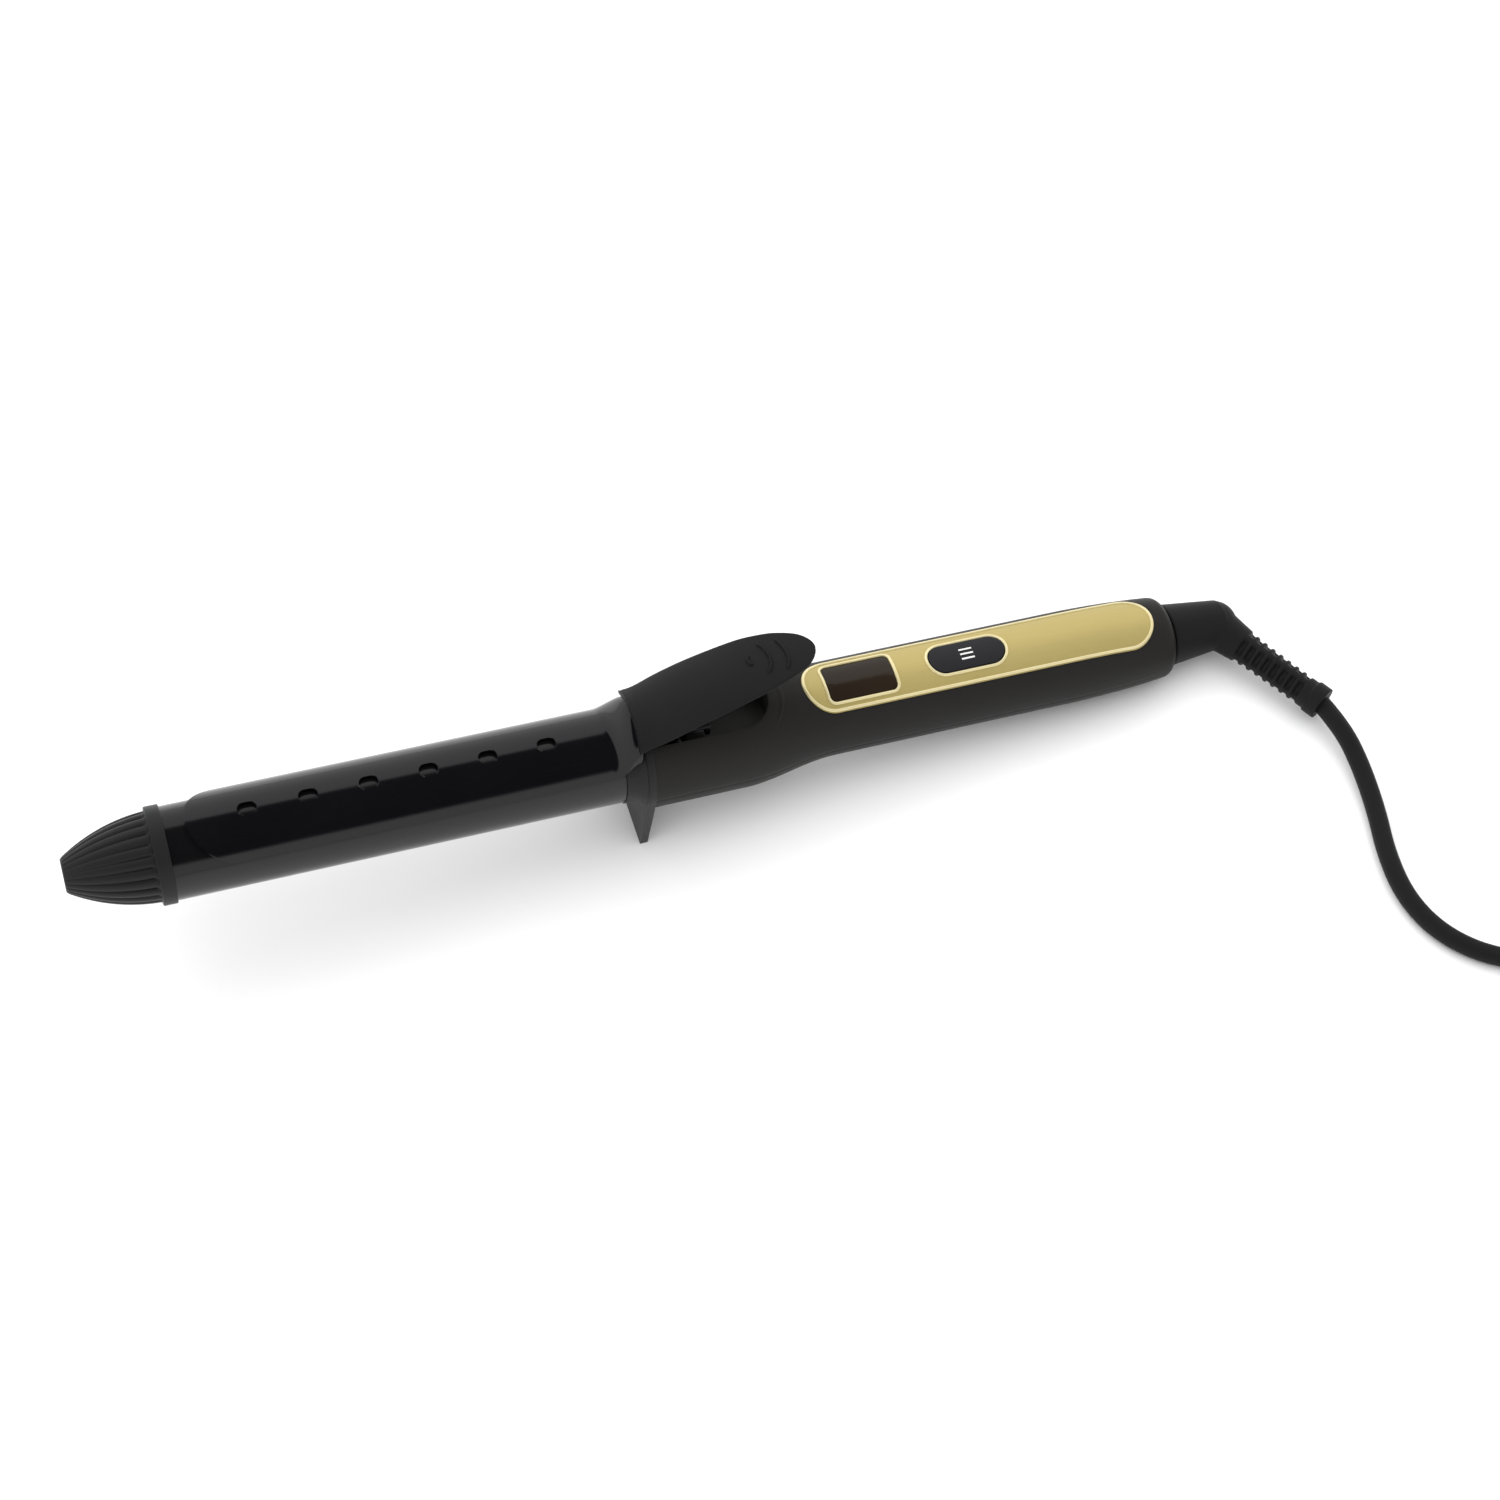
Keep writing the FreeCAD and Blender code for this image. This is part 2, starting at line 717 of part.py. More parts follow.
swivel_level = mm("grip_lift")
collar_radius = mm("swivel_bush_radius") + mm("recess_wall")
collar_start = length - mm("swivel_bush_length")
collar_at = Vector(collar_start, 0, swivel_level)
rear_collar = Part.makeCylinder(collar_radius, length - wall / 2 - collar_start, collar_at, forward)
rear_collar = rear_collar.common(outer)
rear_hole_radius = mm("swivel_bush_radius") + mm("press_gap")
rear_hole_length = 4 * wall + length - collar_start
rear_hole = Part.makeCylinder(rear_hole_radius, rear_hole_length, collar_at - wall * forward, forward)

upper = outer.cut(cavity).cut(lower_space)
lower = outer.cut(cavity).common(lower_space)
upper = upper.fuse(tray).fuse(rear_collar.cut(lower_space))
lower = lower.fuse(rear_collar.common(lower_space))

for x, y in cover_screw_places:
    level = seam_level(x)
    post = Part.makeCylinder(mm("boss_radius"), 2 * tall, Vector(x, y, -tall)).common(outer)
    upper = upper.fuse(post.cut(lower_space))
    lower = lower.fuse(post.common(lower_space))
for x in board_screw_places:
    upper = upper.fuse(Part.makeCylinder(mm("boss_radius"), tall, Vector(x, 0, board_top)).common(outer))

upper = upper.cut(slot_cut).cut(bush_hole).cut(rear_hole)
lower = lower.cut(bush_hole).cut(rear_hole)
pin_room = mm("pin_length") / 2 + mm("pin_running_gap")
pin_foot = Vector(mm("pivot_x"), -pin_room, mm("pivot_z"))
pin_hole_radius = mm("pin_radius") + 2 * mm("press_gap")
pin_hole = Part.makeCylinder(pin_hole_radius, 2 * pin_room, pin_foot, Vector(0, 1, 0))
upper = upper.cut(pin_hole)

head_room = mm("screw_head_room")
pilot_depth = mm("screw_pilot_depth")
seam_reach = mm("seam_reach")
pilot_radius = mm("screw_pilot")
shank_radius = pilot_radius - mm("press_gap")
cross_span = Vector(mm("screw_cross_length"), mm("screw_cross_width"), 0)
screw_solids = []
for x, y in cover_screw_places:
    level = seam_level(x)
    seat = underside(x, abs(y) + mm("screw_head")) + head_room + mm("screw_head_sink")
    pilot_at = Vector(x, y, level - seam_reach)
    upper = upper.cut(Part.makeCylinder(pilot_radius, pilot_depth + seam_reach, pilot_at))
    shank_way = Vector(x, y, level + seam_reach - tall)
    lower = lower.cut(Part.makeCylinder(mm("screw_shank") + 2 * mm("fit_gap"), tall, shank_way))
    head_way = Vector(x, y, seat - tall)
    lower = lower.cut(Part.makeCylinder(mm("screw_head") + 4 * mm("fit_gap"), tall, head_way))
    shank = Part.makeCylinder(shank_radius, level + pilot_depth - 1 - seat, Vector(x, y, seat))
    head_at = Vector(x, y, seat - head_room)
    screw = shank.fuse(Part.makeCylinder(mm("screw_head"), head_room, head_at))
    for span in (cross_span, Vector(cross_span.y, cross_span.x, 0)):
        screw = screw.cut(Part.makeBox(span.x, span.y, mm("screw_cross_depth"), head_at - span / 2))
    screw_solids.append(screw)
plain("cover_screws", Part.makeCompound(screw_solids))



def small_screw(x, under, sheet):
    """A small screw on the middle plane, up through a sheet whose lower face is at a level."""
    head_height = mm("small_head_height")
    shank = Part.makeCylinder(shank_radius, sheet + mm("small_grip"), Vector(x, 0, under))
    head = Part.makeCylinder(mm("small_head"), head_height, Vector(x, 0, under - head_height))
    return shank.fuse(head)


board_under = mm("board_level")
small_pilot = mm("small_grip") + 1
for x in board_screw_places:
    upper = upper.cut(Part.makeCylinder(pilot_radius, small_pilot, Vector(x, 0, board_top)))
plain("board_screws", Part.makeCompound([
    small_screw(x, board_under, mm("board_sheet")) for x in board_screw_places
]))



def grown(shape, name, gap, low, *corner):
    """The prism of the panel, window or button, larger all round by a gap."""
    start = mm(name + "_start") - gap
    return shape(start, mm(name + "_length") + 2 * gap, mm(name + "_width") + 2 * gap, *corner, low, tall)


top_half = mm("grip_lift")
above_board = board_top + mm("plunger_height")
button_gap = mm("button_gap")
panel_prism = grown(slotted, "panel", 0, top_half)
panel_seat = grown(slotted, "panel", mm("fit_gap"), top_half)
window_prism = grown(rounded, "window", 0, top_half, mm("window_corner"))
window_hole = grown(rounded, "window", mm("fit_gap"), above_board, mm("window_corner"))
button_prism = grown(slotted, "button", 0, top_half)
button_hole = grown(slotted, "button", button_gap, above_board)
seat_layer = between(-mm("panel_proud") - 0.5, mm("panel_depth") + mm("fit_gap"))
upper = upper.cut(panel_seat.common(seat_layer)).cut(window_hole).cut(button_hole)
plain("upper_cover", upper.removeSplitter())
plain("lower_cover", lower.removeSplitter())

panel = between(-mm("panel_proud"), mm("panel_depth")).common(panel_prism)
plain("trim_panel", panel.cut(window_hole).cut(button_hole))
window = between(0, mm("window_depth")).common(window_prism)
plain("display_window", window)

button_lip = 0.3
flange_top = wall + button_lip
flange_low = flange_top + mm("button_flange")
flange_prism = grown(slotted, "button", 2 * button_gap + button_lip, top_half)
cap = between(-mm("button_proud"), flange_low - 0.1).common(button_prism)
rim = between(flange_top, flange_low).common(flange_prism)
button_middle = mm("button_start") + mm("button_length") / 2
plunger_top = board_top + mm("switch_height") + mm("plunger_proud")
stem_radius = mm("plunger_radius") + button_lip
stem = Part.makeCylinder(stem_radius, tall, Vector(button_middle, 0, plunger_top))
stem = stem.common(handle_form(flange_low - button_lip, 1, length - spare, 0))
plain("menu_button", cap.fuse(rim).fuse(stem).removeSplitter())

# electronics

board_length = "Sizes.board_rear - Sizes.board_front"
board_blank = block(
    "board_blank",
    (board_length, "Sizes.board_width", "Sizes.board_sheet"),
    ("Sizes.board_front", "-Sizes.board_width / 2", "Sizes.board_level"),
)
board_holes = group("board_holes", *[
    rod(f"board_hole_{number}", "Sizes.screw_pilot + 2 * Sizes.fit_gap", "3 * Sizes.board_sheet",
        (str(x), "0", "Sizes.board_level - Sizes.board_sheet"), UPRIGHT)
    for number, x in enumerate(board_screw_places, 1)
])
part(cut("circuit_board", board_blank, board_holes), "circuit_board")
on_board = "Sizes.board_level + Sizes.board_sheet"
display = block(
    "display_module",
    ("Sizes.window_length - 2 * Sizes.free_gap", "Sizes.window_width", "Sizes.display_height"),
    ("Sizes.window_start + Sizes.free_gap", "-Sizes.window_width / 2", on_board),
)
part(display, "display_module")
button_x = "Sizes.button_start + Sizes.button_length / 2"
switch_body = block(
    "switch_body",
    ("Sizes.switch_size", "Sizes.switch_size", "Sizes.switch_height"),
    (f"{button_x} - Sizes.switch_size / 2", "-Sizes.switch_size / 2", on_board),
)
switch_top = f"{on_board} + Sizes.switch_height"
switch_well = rod("switch_well", "Sizes.plunger_radius + Sizes.fit_gap", "Sizes.switch_height",
                  (button_x, "0", f"{on_board} + 0.4"), UPRIGHT)
part(cut("push_switch", switch_body, switch_well), "push_switch")
plunger = rod("switch_plunger", "Sizes.plunger_radius", "Sizes.plunger_height",
              (button_x, "0", f"{switch_top} + Sizes.plunger_proud - Sizes.plunger_height"), UPRIGHT)
part(plunger, "switch_plunger")
chip = block(
    "controller_chip",
    ("Sizes.chip_side", "Sizes.chip_side", "Sizes.chip_height"),
    ("Sizes.chip_start", "-Sizes.chip_side / 2", on_board),
)
part(chip, "controller_chip")
for label, name in (("film_capacitor", "Sizes.capacitor"), ("power_triac", "Sizes.triac")):
    hung = block(
        label,
        (f"{name}_length", f"{name}_width", f"{name}_height"),
        (f"{name}_start", f"-{name}_width / 2", f"Sizes.board_level - {name}_height"),
    )
    part(hung, label)

# wires inside

def wires(label, radius, routes):
    solids = [tube([Vector(*spot) for spot in route], radius)[0] for route in routes]
    plain(label, Part.makeCompound(solids))


fit_gap = mm("fit_gap")
heater_end = -mm("heater_rear")
lead_radius = mm("lead_radius")
lead_level = board_under - lead_radius - fit_gap
wires("heater_leads", lead_radius, [
    [(heater_end + 2 * fit_gap, 2.2 * side, 0), (30, 2.2 * side, 0),
     (62, 4.6 * side, lead_level), (70, 4.8 * side, lead_level)]
    for side in (-1, 1)
])
thin_radius = mm("thin_lead_radius")
thin_level = board_under - thin_radius - fit_gap
sensor_end = heater_end + mm("sensor_length") + 2 * fit_gap
wires("sensor_leads", thin_radius, [
    [(sensor_end, 0.45 * side, 4 * mm("sensor_radius")), (-14, 0.6 * side, 2.6),
     (30, 0.8 * side, 2.2), (52, 1.2 * side, thin_level), (60, 1.3 * side, thin_level)]
    for side in (-1, 1)
])

# clip

def shell_section(x, radius, centre, half_angle, thickness):
    """A closed arched section across the iron."""
    middle = Vector(x, 0, centre)

    def spot(size, angle):
        turn = math.radians(angle)
        return middle + Vector(0, size * math.sin(turn), size * math.cos(turn))

    small = radius - thickness
    edges = [
        Part.Arc(spot(radius, -half_angle), spot(radius, 0), spot(radius, half_angle)).toShape(),
        Part.LineSegment(spot(radius, half_angle), spot(small, half_angle)).toShape(),
        Part.Arc(spot(small, half_angle), spot(small, 0), spot(small, -half_angle)).toShape(),
        Part.LineSegment(spot(small, -half_angle), spot(radius, -half_angle)).toShape(),
    ]
    return Part.Wire(edges)


clip_inner = mm("barrel_diameter") / 2 + mm("clip_gap")
clip_outer = clip_inner + mm("clip_wall")
clip_angle = mm("clip_angle")
hump_start = -mm("hump_start")
hump_end = -mm("hump_end")


def hump_section(share):
    blend = smooth(share)
    x = hump_start + (hump_end - hump_start) * share
    radius = clip_outer + (mm("hump_radius") - clip_outer) * blend
    angle = clip_angle + (mm("hump_angle") - clip_angle) * blend
    return shell_section(x, radius, mm("hump_centre") * blend, angle, mm("clip_wall"))


flat_section = shell_section(hump_start, clip_outer, 0, clip_angle, mm("clip_wall"))
clip_front = -mm("clip_front")
spoon = Part.Face(flat_section).extrude(Vector(clip_front - hump_start, 0, 0))
plan_width = 2 * clip_outer * math.sin(math.radians(clip_angle))
spoon = spoon.common(slotted(clip_front, 2 * mm("clip_front"), plan_width, 0, tall))
hump = Part.makeLoft([hump_section(index / 6) for index in range(7)], True, False)
hump_size = (mm("hump_radius"), mm("hump_centre"))
tongue = shell_section(hump_end, *hump_size, mm("tongue_angle"), mm("clip_wall"))
tongue = Part.Face(tongue).extrude(Vector(mm("tongue_end") - hump_end, 0, 0))
shell = spoon.fuse([hump, tongue])
for index in range(int(mm("vent_count"))):
    start = -mm("vent_first") + index * mm("vent_pitch") - mm("vent_length") / 2
    shell = shell.cut(slotted(start, mm("vent_length"), mm("vent_width"), 5, tall))
plain("clip_shell", shell)

# The lever's leaf, from its flared front band to its thumb end: place along the axis, half width,
# lowest level of its rim, crown above that, thickness in the middle.
lever_stations = [
    (-4.2, 10.3, 15.6, 5.6, 1.0),
    (0.0, 10.7, 17.0, 5.1, 1.4),
    (8.0, 10.6, 21.4, 4.2, 2.2),
    (18.0, 10.3, 26.1, 3.5, 2.5),
    (28.0, 9.6, 30.1, 2.4, 2.4),
    (36.0, 8.1, 32.4, 1.7, 2.2),
    (42.0, 5.9, 33.4, 1.2, 1.8),
    (45.0, 3.4, 33.8, 0.9, 1.4),
    (46.4, 1.2, 34.0, 0.7, 1.0),
]
lever_rim = 0.7


def leaf_section(x, half_width, low, crown, thickness):
    """A closed leaf section across the iron, with upright rims."""
    foot_left = Vector(x, -half_width, low)
    foot_right = Vector(x, half_width, low)
    rim = Vector(0, 0, lever_rim)
    top = Vector(x, 0, low + crown)
    bottom = Vector(x, 0, low + crown - thickness + 0.01)
    edges = [
        Part.Arc(foot_left + rim, top + rim * 0.01, foot_right + rim).toShape(),
        Part.LineSegment(foot_right + rim, foot_right).toShape(),
        Part.Arc(foot_right, bottom, foot_left).toShape(),
        Part.LineSegment(foot_left, foot_left + rim).toShape(),
    ]
    return Part.Wire(edges)


lever = Part.makeLoft([leaf_section(*station) for station in lever_stations], True, False)
bracket_top = mm("bracket_level") + mm("bracket_sheet")
lever_space = Part.makeLoft([
    leaf_section(x, half_width, low - lever_rim, crown, tall)
    for x, half_width, low, crown, thickness in lever_stations
], True, False)
lever_screw_places = [mm("lever_screw_front"), mm("lever_screw_rear")]
for x in lever_screw_places:
    foot_point = Vector(x, 0, bracket_top)
    post = Part.makeCylinder(mm("lever_boss_radius"), tall, foot_point).common(lever_space)
    lever = lever.fuse(post).cut(Part.makeCylinder(pilot_radius, small_pilot, foot_point))
plain("thumb_lever", lever)
plain("lever_screws", Part.makeCompound([
    small_screw(x, mm("bracket_level"), mm("bracket_sheet")) for x in lever_screw_places
]))

bracket_plate = block(
    "bracket_plate",
    ("Sizes.bracket_front + Sizes.bracket_rear", "Sizes.bracket_width", "Sizes.bracket_sheet"),
    ("-Sizes.bracket_front", "-Sizes.bracket_width / 2", "Sizes.bracket_level"),
)
bracket_tail = block(
    "bracket_tail",
    ("Sizes.bracket_sheet", "Sizes.bracket_width", "Sizes.bracket_level - Sizes.tail_foot + 0.2"),
    ("Sizes.bracket_rear - Sizes.bracket_sheet", "-Sizes.bracket_width / 2", "Sizes.tail_foot"),
)
ears = []
for side, offset in (("near", "-Sizes.ear_gap / 2 - Sizes.bracket_sheet"), ("far", "Sizes.ear_gap / 2")):
    ears.append(rod(f"ear_eye_{side}", "Sizes.ear_radius", "Sizes.bracket_sheet",
                    ("Sizes.pivot_x", offset, "Sizes.pivot_z"), ALONG_Y))
    ears.append(block(
        f"ear_web_{side}",
        ("2 * Sizes.ear_radius", "Sizes.bracket_sheet", "Sizes.bracket_level - Sizes.pivot_z + 0.2"),
        ("Sizes.pivot_x - Sizes.ear_radius", offset, "Sizes.pivot_z"),
    ))
bracket_blank = join("bracket_blank", bracket_plate, bracket_tail, *ears)
pivot_bore = rod("pivot_bore", "Sizes.pin_radius + Sizes.pin_running_gap", "2 * Sizes.bracket_width",
                 ("Sizes.pivot_x", "-Sizes.bracket_width", "Sizes.pivot_z"), ALONG_Y)
bracket_bores = [pivot_bore]
bore_foot = "Sizes.bracket_level - Sizes.bracket_sheet"
bore_height = "3 * Sizes.bracket_sheet"
for name in ("front", "rear"):
    bracket_bores.append(rod(f"lever_bore_{name}", "Sizes.screw_pilot + 2 * Sizes.fit_gap", bore_height,
                             (f"Sizes.lever_screw_{name}", "0", bore_foot), UPRIGHT))
for name, y in (("near", "-Sizes.rivet_y"), ("far", "Sizes.rivet_y")):
    bracket_bores.append(rod(f"rivet_bore_{name}", "Sizes.rivet_radius + Sizes.press_gap", bore_height,
                             ("-Sizes.rivet_x", y, bore_foot), UPRIGHT))
part(cut("clip_bracket", bracket_blank, group("bracket_bores", *bracket_bores)), "clip_bracket")

pin_at = ("Sizes.pivot_x", "-Sizes.pin_length / 2", "Sizes.pivot_z")
part(rod("hinge_pin", "Sizes.pin_radius", "Sizes.pin_length", pin_at, ALONG_Y), "hinge_pin")

rivet_shell = mm("hump_radius") - mm("clip_wall")
rivet_reach = mm("rivet_y") + mm("rivet_radius")
rivet_top = mm("hump_centre") + math.sqrt(rivet_shell ** 2 - rivet_reach ** 2) - mm("fit_gap")
rivet_solids = []
for side in (-1, 1):
    foot_point = Vector(-mm("rivet_x"), side * mm("rivet_y"), mm("bracket_level"))
    shank = Part.makeCylinder(mm("rivet_radius"), rivet_top - mm("bracket_level"), foot_point)
    head_height = mm("rivet_head_height")
    head = Part.makeCylinder(mm("rivet_head"), head_height, foot_point - Vector(0, 0, head_height))
    rivet_solids.append(shank.fuse(head))
plain("clip_rivets", Part.makeCompound(rivet_solids))

spring_sleeve = rod("spring_sleeve", "Sizes.spring_radius", "Sizes.spring_width",
                    ("Sizes.pivot_x", "-Sizes.spring_width / 2", "Sizes.pivot_z"), ALONG_Y)
spring_bore = rod("spring_bore", "Sizes.spring_bore", "2 * Sizes.spring_width",
                  ("Sizes.pivot_x", "-Sizes.spring_width", "Sizes.pivot_z"), ALONG_Y)
spring_lane = "(Sizes.spring_radius + Sizes.spring_bore) / 2"
lower_leg = rod("spring_lower_leg", "Sizes.spring_wire", "11",
                ("Sizes.pivot_x", "-Sizes.spring_width / 2 + 2 * Sizes.spring_wire",
                 f"Sizes.pivot_z - {spring_lane}"))
upper_leg = rod("spring_upper_leg", "Sizes.spring_wire",
                "Sizes.bracket_level - Sizes.pivot_z - Sizes.free_gap",
                (f"Sizes.pivot_x + {spring_lane}",
                 "Sizes.spring_width / 2 - 2 * Sizes.spring_wire", "Sizes.pivot_z"), UPRIGHT)
spring_body = join("spring_body", spring_sleeve, lower_leg, upper_leg)
part(cut("clip_spring", spring_body, spring_bore), "clip_spring")

# swivel

def along(points_radii):
    """A turned solid about the swivel's axis from (x, radius) corners."""
    corners = [Vector(x, 0, radius) for x, radius in points_radii]
    face = Part.Face(Part.makePolygon(corners + corners[:1]))
    solid = face.revolve(Vector(), Vector(1, 0, 0), 360)
    solid.translate(Vector(0, 0, swivel_level))
    return solid


ball_x = mm("swivel_ball_x")
ball = Vector(ball_x, 0, swivel_level)
elbow = math.radians(mm("elbow_angle"))
arm = Vector(math.cos(elbow), -math.sin(elbow), 0)
neck_start = length - mm("swivel_bush_length") - 0.1
flange_start = neck_start - mm("swivel_flange")
core_start = flange_start - mm("swivel_core_length")
swivel = along([
    (core_start, 0), (core_start, mm("swivel_core_radius")), (flange_start, mm("swivel_core_radius")),
    (flange_start, mm("swivel_flange_radius")), (neck_start, mm("swivel_flange_radius")),
    (neck_start, mm("swivel_neck_radius")), (length + mm("swivel_gap"), mm("swivel_neck_radius")),
    (length + mm("swivel_gap"), mm("swivel_stub_radius")), (ball_x, mm("swivel_ball_radius")), (ball_x, 0),
])
swivel = swivel.fuse(Part.makeSphere(mm("swivel_ball_radius"), ball))
relief = mm("relief_length")
swivel = swivel.fuse(Part.makeCone(mm("relief_root_radius"), mm("relief_end_radius"), relief, ball, arm))
flare = mm("elbow_flare_length")
flare_end = mm("relief_root_radius") + (mm("relief_end_radius") - mm("relief_root_radius")) * flare / relief
swivel = swivel.fuse(Part.makeCone(mm("elbow_flare_radius"), flare_end, flare, ball, arm))
collar_from = ball + arm * (relief - mm("relief_collar"))
end_radius = mm("relief_end_radius") + mm("relief_collar_wall")
swivel = swivel.fuse(Part.makeCylinder(end_radius, mm("relief_collar"), collar_from, arm))
plain("swivel_elbow", swivel.removeSplitter())

ring_inner = mm("swivel_core_radius") + mm("press_gap")
ring_outer = ring_inner + mm("slip_ring_wall")
ring_width = mm("slip_ring_width")
ring_starts = [core_start + 1.0, core_start + 2.0 + 1.6 * ring_width]
slip_rings = []
for x in ring_starts:
    ring_stop = x + ring_width
    corners = [(x, ring_inner), (x, ring_outer), (ring_stop, ring_outer), (ring_stop, ring_inner)]
    slip_rings.append(along(corners))
plain("slip_rings", Part.makeCompound(slip_rings))

bush_outer = mm("swivel_bush_radius") - mm("press_gap")
bush_inner = mm("swivel_neck_radius") + mm("pin_running_gap")
swivel_bush = along([
    (collar_start, bush_inner), (collar_start, bush_outer), (length, bush_outer), (length, bush_inner),
])
plain("swivel_bush", swivel_bush)

finger_sheet = mm("finger_sheet")
finger_level = swivel_level - ring_outer - finger_sheet - mm("free_gap")
holder_low = seam_level(length) - mm("holder_depth")
holder_top = finger_level - finger_sheet
holder_start = core_start - mm("holder_front")
holder_half = mm("holder_width") / 2
holder = Part.makeBox(
    mm("holder_front") + mm("holder_rear"), mm("holder_width"), holder_top - holder_low,
    Vector(holder_start, -holder_half, holder_low),
)
plain("contact_holder", holder)
finger_inset = 0.3
finger_width = ring_width - 2 * finger_inset
finger_half = mm("finger_length") / 2
post_sheet = mm("finger_post")
fingers = []
for x in ring_starts:
    finger_at = Vector(x + finger_inset, -finger_half, finger_level)
    finger = Part.makeBox(finger_width, 2 * finger_half, finger_sheet, finger_at)
    post_at = Vector(x + finger_inset, finger_half - post_sheet, holder_top)
    post = Part.makeBox(finger_width, post_sheet, finger_level - holder_top, post_at)
    fingers.append(finger.fuse(post))
plain("contact_fingers", Part.makeCompound(fingers))
lead_start = holder_start - lead_radius + 4 * fit_gap
wires("supply_leads", lead_radius, [
    [(lead_start, 3.6 * side, holder_top - 1.5), (128, 5.4 * side, -2.0),
     (118, 5.4 * side, lead_level), (113, 5.4 * side, lead_level)]
    for side in (-1, 1)
])

# rest placement: tipped on to the foot and the handle's rear, centred over the origin

tilt = math.radians(rest_tilt)
tip_x = -(mm("barrel_reach") - mm("ring_overlap") + mm("tip_length"))
tip_low = mm("tip_end_radius") - mm("tip_chamfer")
front_reach = tip_x * math.cos(tilt) - tip_low * math.sin(tilt)
top_corner = mm("grip_lift") + mm("grip_height") / 2 - mm("handle_corner")
rear_reach = corner_x * math.cos(tilt) + top_corner * math.sin(tilt) + mm("handle_corner")
centre_shift = -(front_reach + rear_reach) / 2
rest_height = mm("foot_depth") * math.cos(tilt)
rest = Placement(Vector(centre_shift, 0, rest_height), Rotation(Vector(0, 1, 0), rest_tilt))
doc.recompute()
for item in keep:
    item.Placement = rest.multiply(item.Placement)

# cord, coil and plug, where they lie

cord_radius = mm("cord_diameter") / 2
exit_point = rest.multVec(ball + arm * relief)
floor_level = cord_radius + 0.05
# Steps from the strain relief's end, across the floor, with the height of each point.
cord_steps = [
    (-0.5, 0.9, exit_point.z),
    (2.4, -8.4, 6.5),
    (3.3, -20.0, 4.2),
    (1.9, -34.5, 3.0),
    (-1.1, -48.0, floor_level),
    (-1.8, -61.5, floor_level),
    (1.7, -73.5, floor_level),
    (9.4, -83.4, floor_level),
    (20.6, -90.3, floor_level),
    (35.2, -95.8, floor_level),
    (50.8, -99.3, floor_level + 0.2),
    (66.5, -101.0, floor_level + 0.5),
    (78.9, -101.2, floor_level + 0.6),
]
cord_points = [Vector(exit_point.x + x, exit_point.y + y, z) for x, y, z in cord_steps]
cord_tube, cord_radii, cord_run = tube(cord_points, cord_radius)
print("cord radii", [round(radius, 1) for radius in cord_radii], "length", round(cord_run, 1))
plain("cord", cord_tube)

coil_lane = (mm("coil_outer") / 2) - cord_radius - 0.3
tie_sheet = mm("tie_thickness")
coil_centre = Vector(cord_points[-1].x + 5.5, cord_points[-1].y + coil_lane, tie_sheet + 0.05)
coil = Part.makeCylinder(mm("coil_outer") / 2, mm("coil_height"), coil_centre)
coil = coil.cut(Part.makeCylinder(mm("coil_inner") / 2, mm("coil_height"), coil_centre))
plain("cord_coil", coil)

tail_top = coil_centre.z + mm("coil_height") - cord_radius - 0.3
plug_level = mm("plug_height") / 2 + 0.1
tail_steps = [
    (0.0, 0.0, tail_top),
    (0.0, 11.5, tail_top - 0.9),
    (0.4, 23.5, tail_top - 4.2),
    (0.1, 34.5, plug_level + 0.2),
    (0.0, 43.5, plug_level),
]
tail_points = [
    Vector(coil_centre.x + coil_lane + x, coil_centre.y + y, z) for x, y, z in tail_steps
]
tail_tube, tail_radii, tail_run = tube(tail_points, cord_radius)
print("tail radii", [round(radius, 1) for radius in tail_radii], "length", round(tail_run, 1))
plain("cord_tail", tail_tube)

band = mm("coil_outer") / 2 - mm("coil_inner") / 2 + 2 * tie_sheet
tie = Part.makeBox(
    band, mm("tie_width"), mm("coil_height") + 2 * tie_sheet,
    Vector(mm("coil_inner") / 2 - tie_sheet, -mm("tie_width") / 2, -tie_sheet),
)
hollow_foot = Vector(0, 0, -fit_gap)
hollow_height = mm("coil_height") + 2 * fit_gap
hollow = Part.makeCylinder(mm("coil_outer") / 2 + fit_gap, hollow_height, hollow_foot)
hollow = hollow.cut(Part.makeCylinder(mm("coil_inner") / 2 - fit_gap, hollow_height, hollow_foot))
tie = tie.cut(hollow)
tie.rotate(Vector(), Vector(0, 0, 1), mm("tie_turn"))
tie.translate(coil_centre)
plain("cord_tie", tie)

plug_start = tail_points[-1]
sideways = Vector(0, 1, 0)
relief_tip = cord_radius + mm("plug_relief_tip")
relief_root = cord_radius + mm("plug_relief_root")
plug_relief = Part.makeCone(relief_tip, relief_root, mm("plug_relief"), plug_start, sideways)
plug_size = Vector(mm("plug_width"), mm("plug_length"), mm("plug_height"))
plug_corner = plug_start + Vector(-plug_size.x / 2, mm("plug_relief"), -plug_size.z / 2)
plug_block = Part.makeBox(*plug_size, plug_corner)
lengthwise = [edge for edge in plug_block.Edges if edge.BoundBox.YLength > 1]
plug_block = plug_block.makeFillet(mm("plug_corner"), lengthwise)
plain("plug_body", plug_block.fuse(plug_relief))
blade_y = plug_corner.y + mm("plug_length")
blades = []
for side in (-1, 1):
    blade_x = plug_start.x + side * mm("blade_spacing") / 2 - mm("blade_thickness") / 2
    blade = Part.makeBox(
        mm("blade_thickness"), mm("blade_length"), mm("blade_height"),
        Vector(blade_x, blade_y, plug_level - mm("blade_height") / 2),
    )
    hole_y = blade_y + mm("blade_length") - mm("blade_hole_inset")
    hole_at = Vector(blade_x - mm("blade_thickness"), hole_y, plug_level)
    hole = Part.makeCylinder(mm("blade_hole_radius"), 3 * mm("blade_thickness"), hole_at, forward)
    blades.append(blade.cut(hole))
plain("plug_blades", Part.makeCompound(blades))

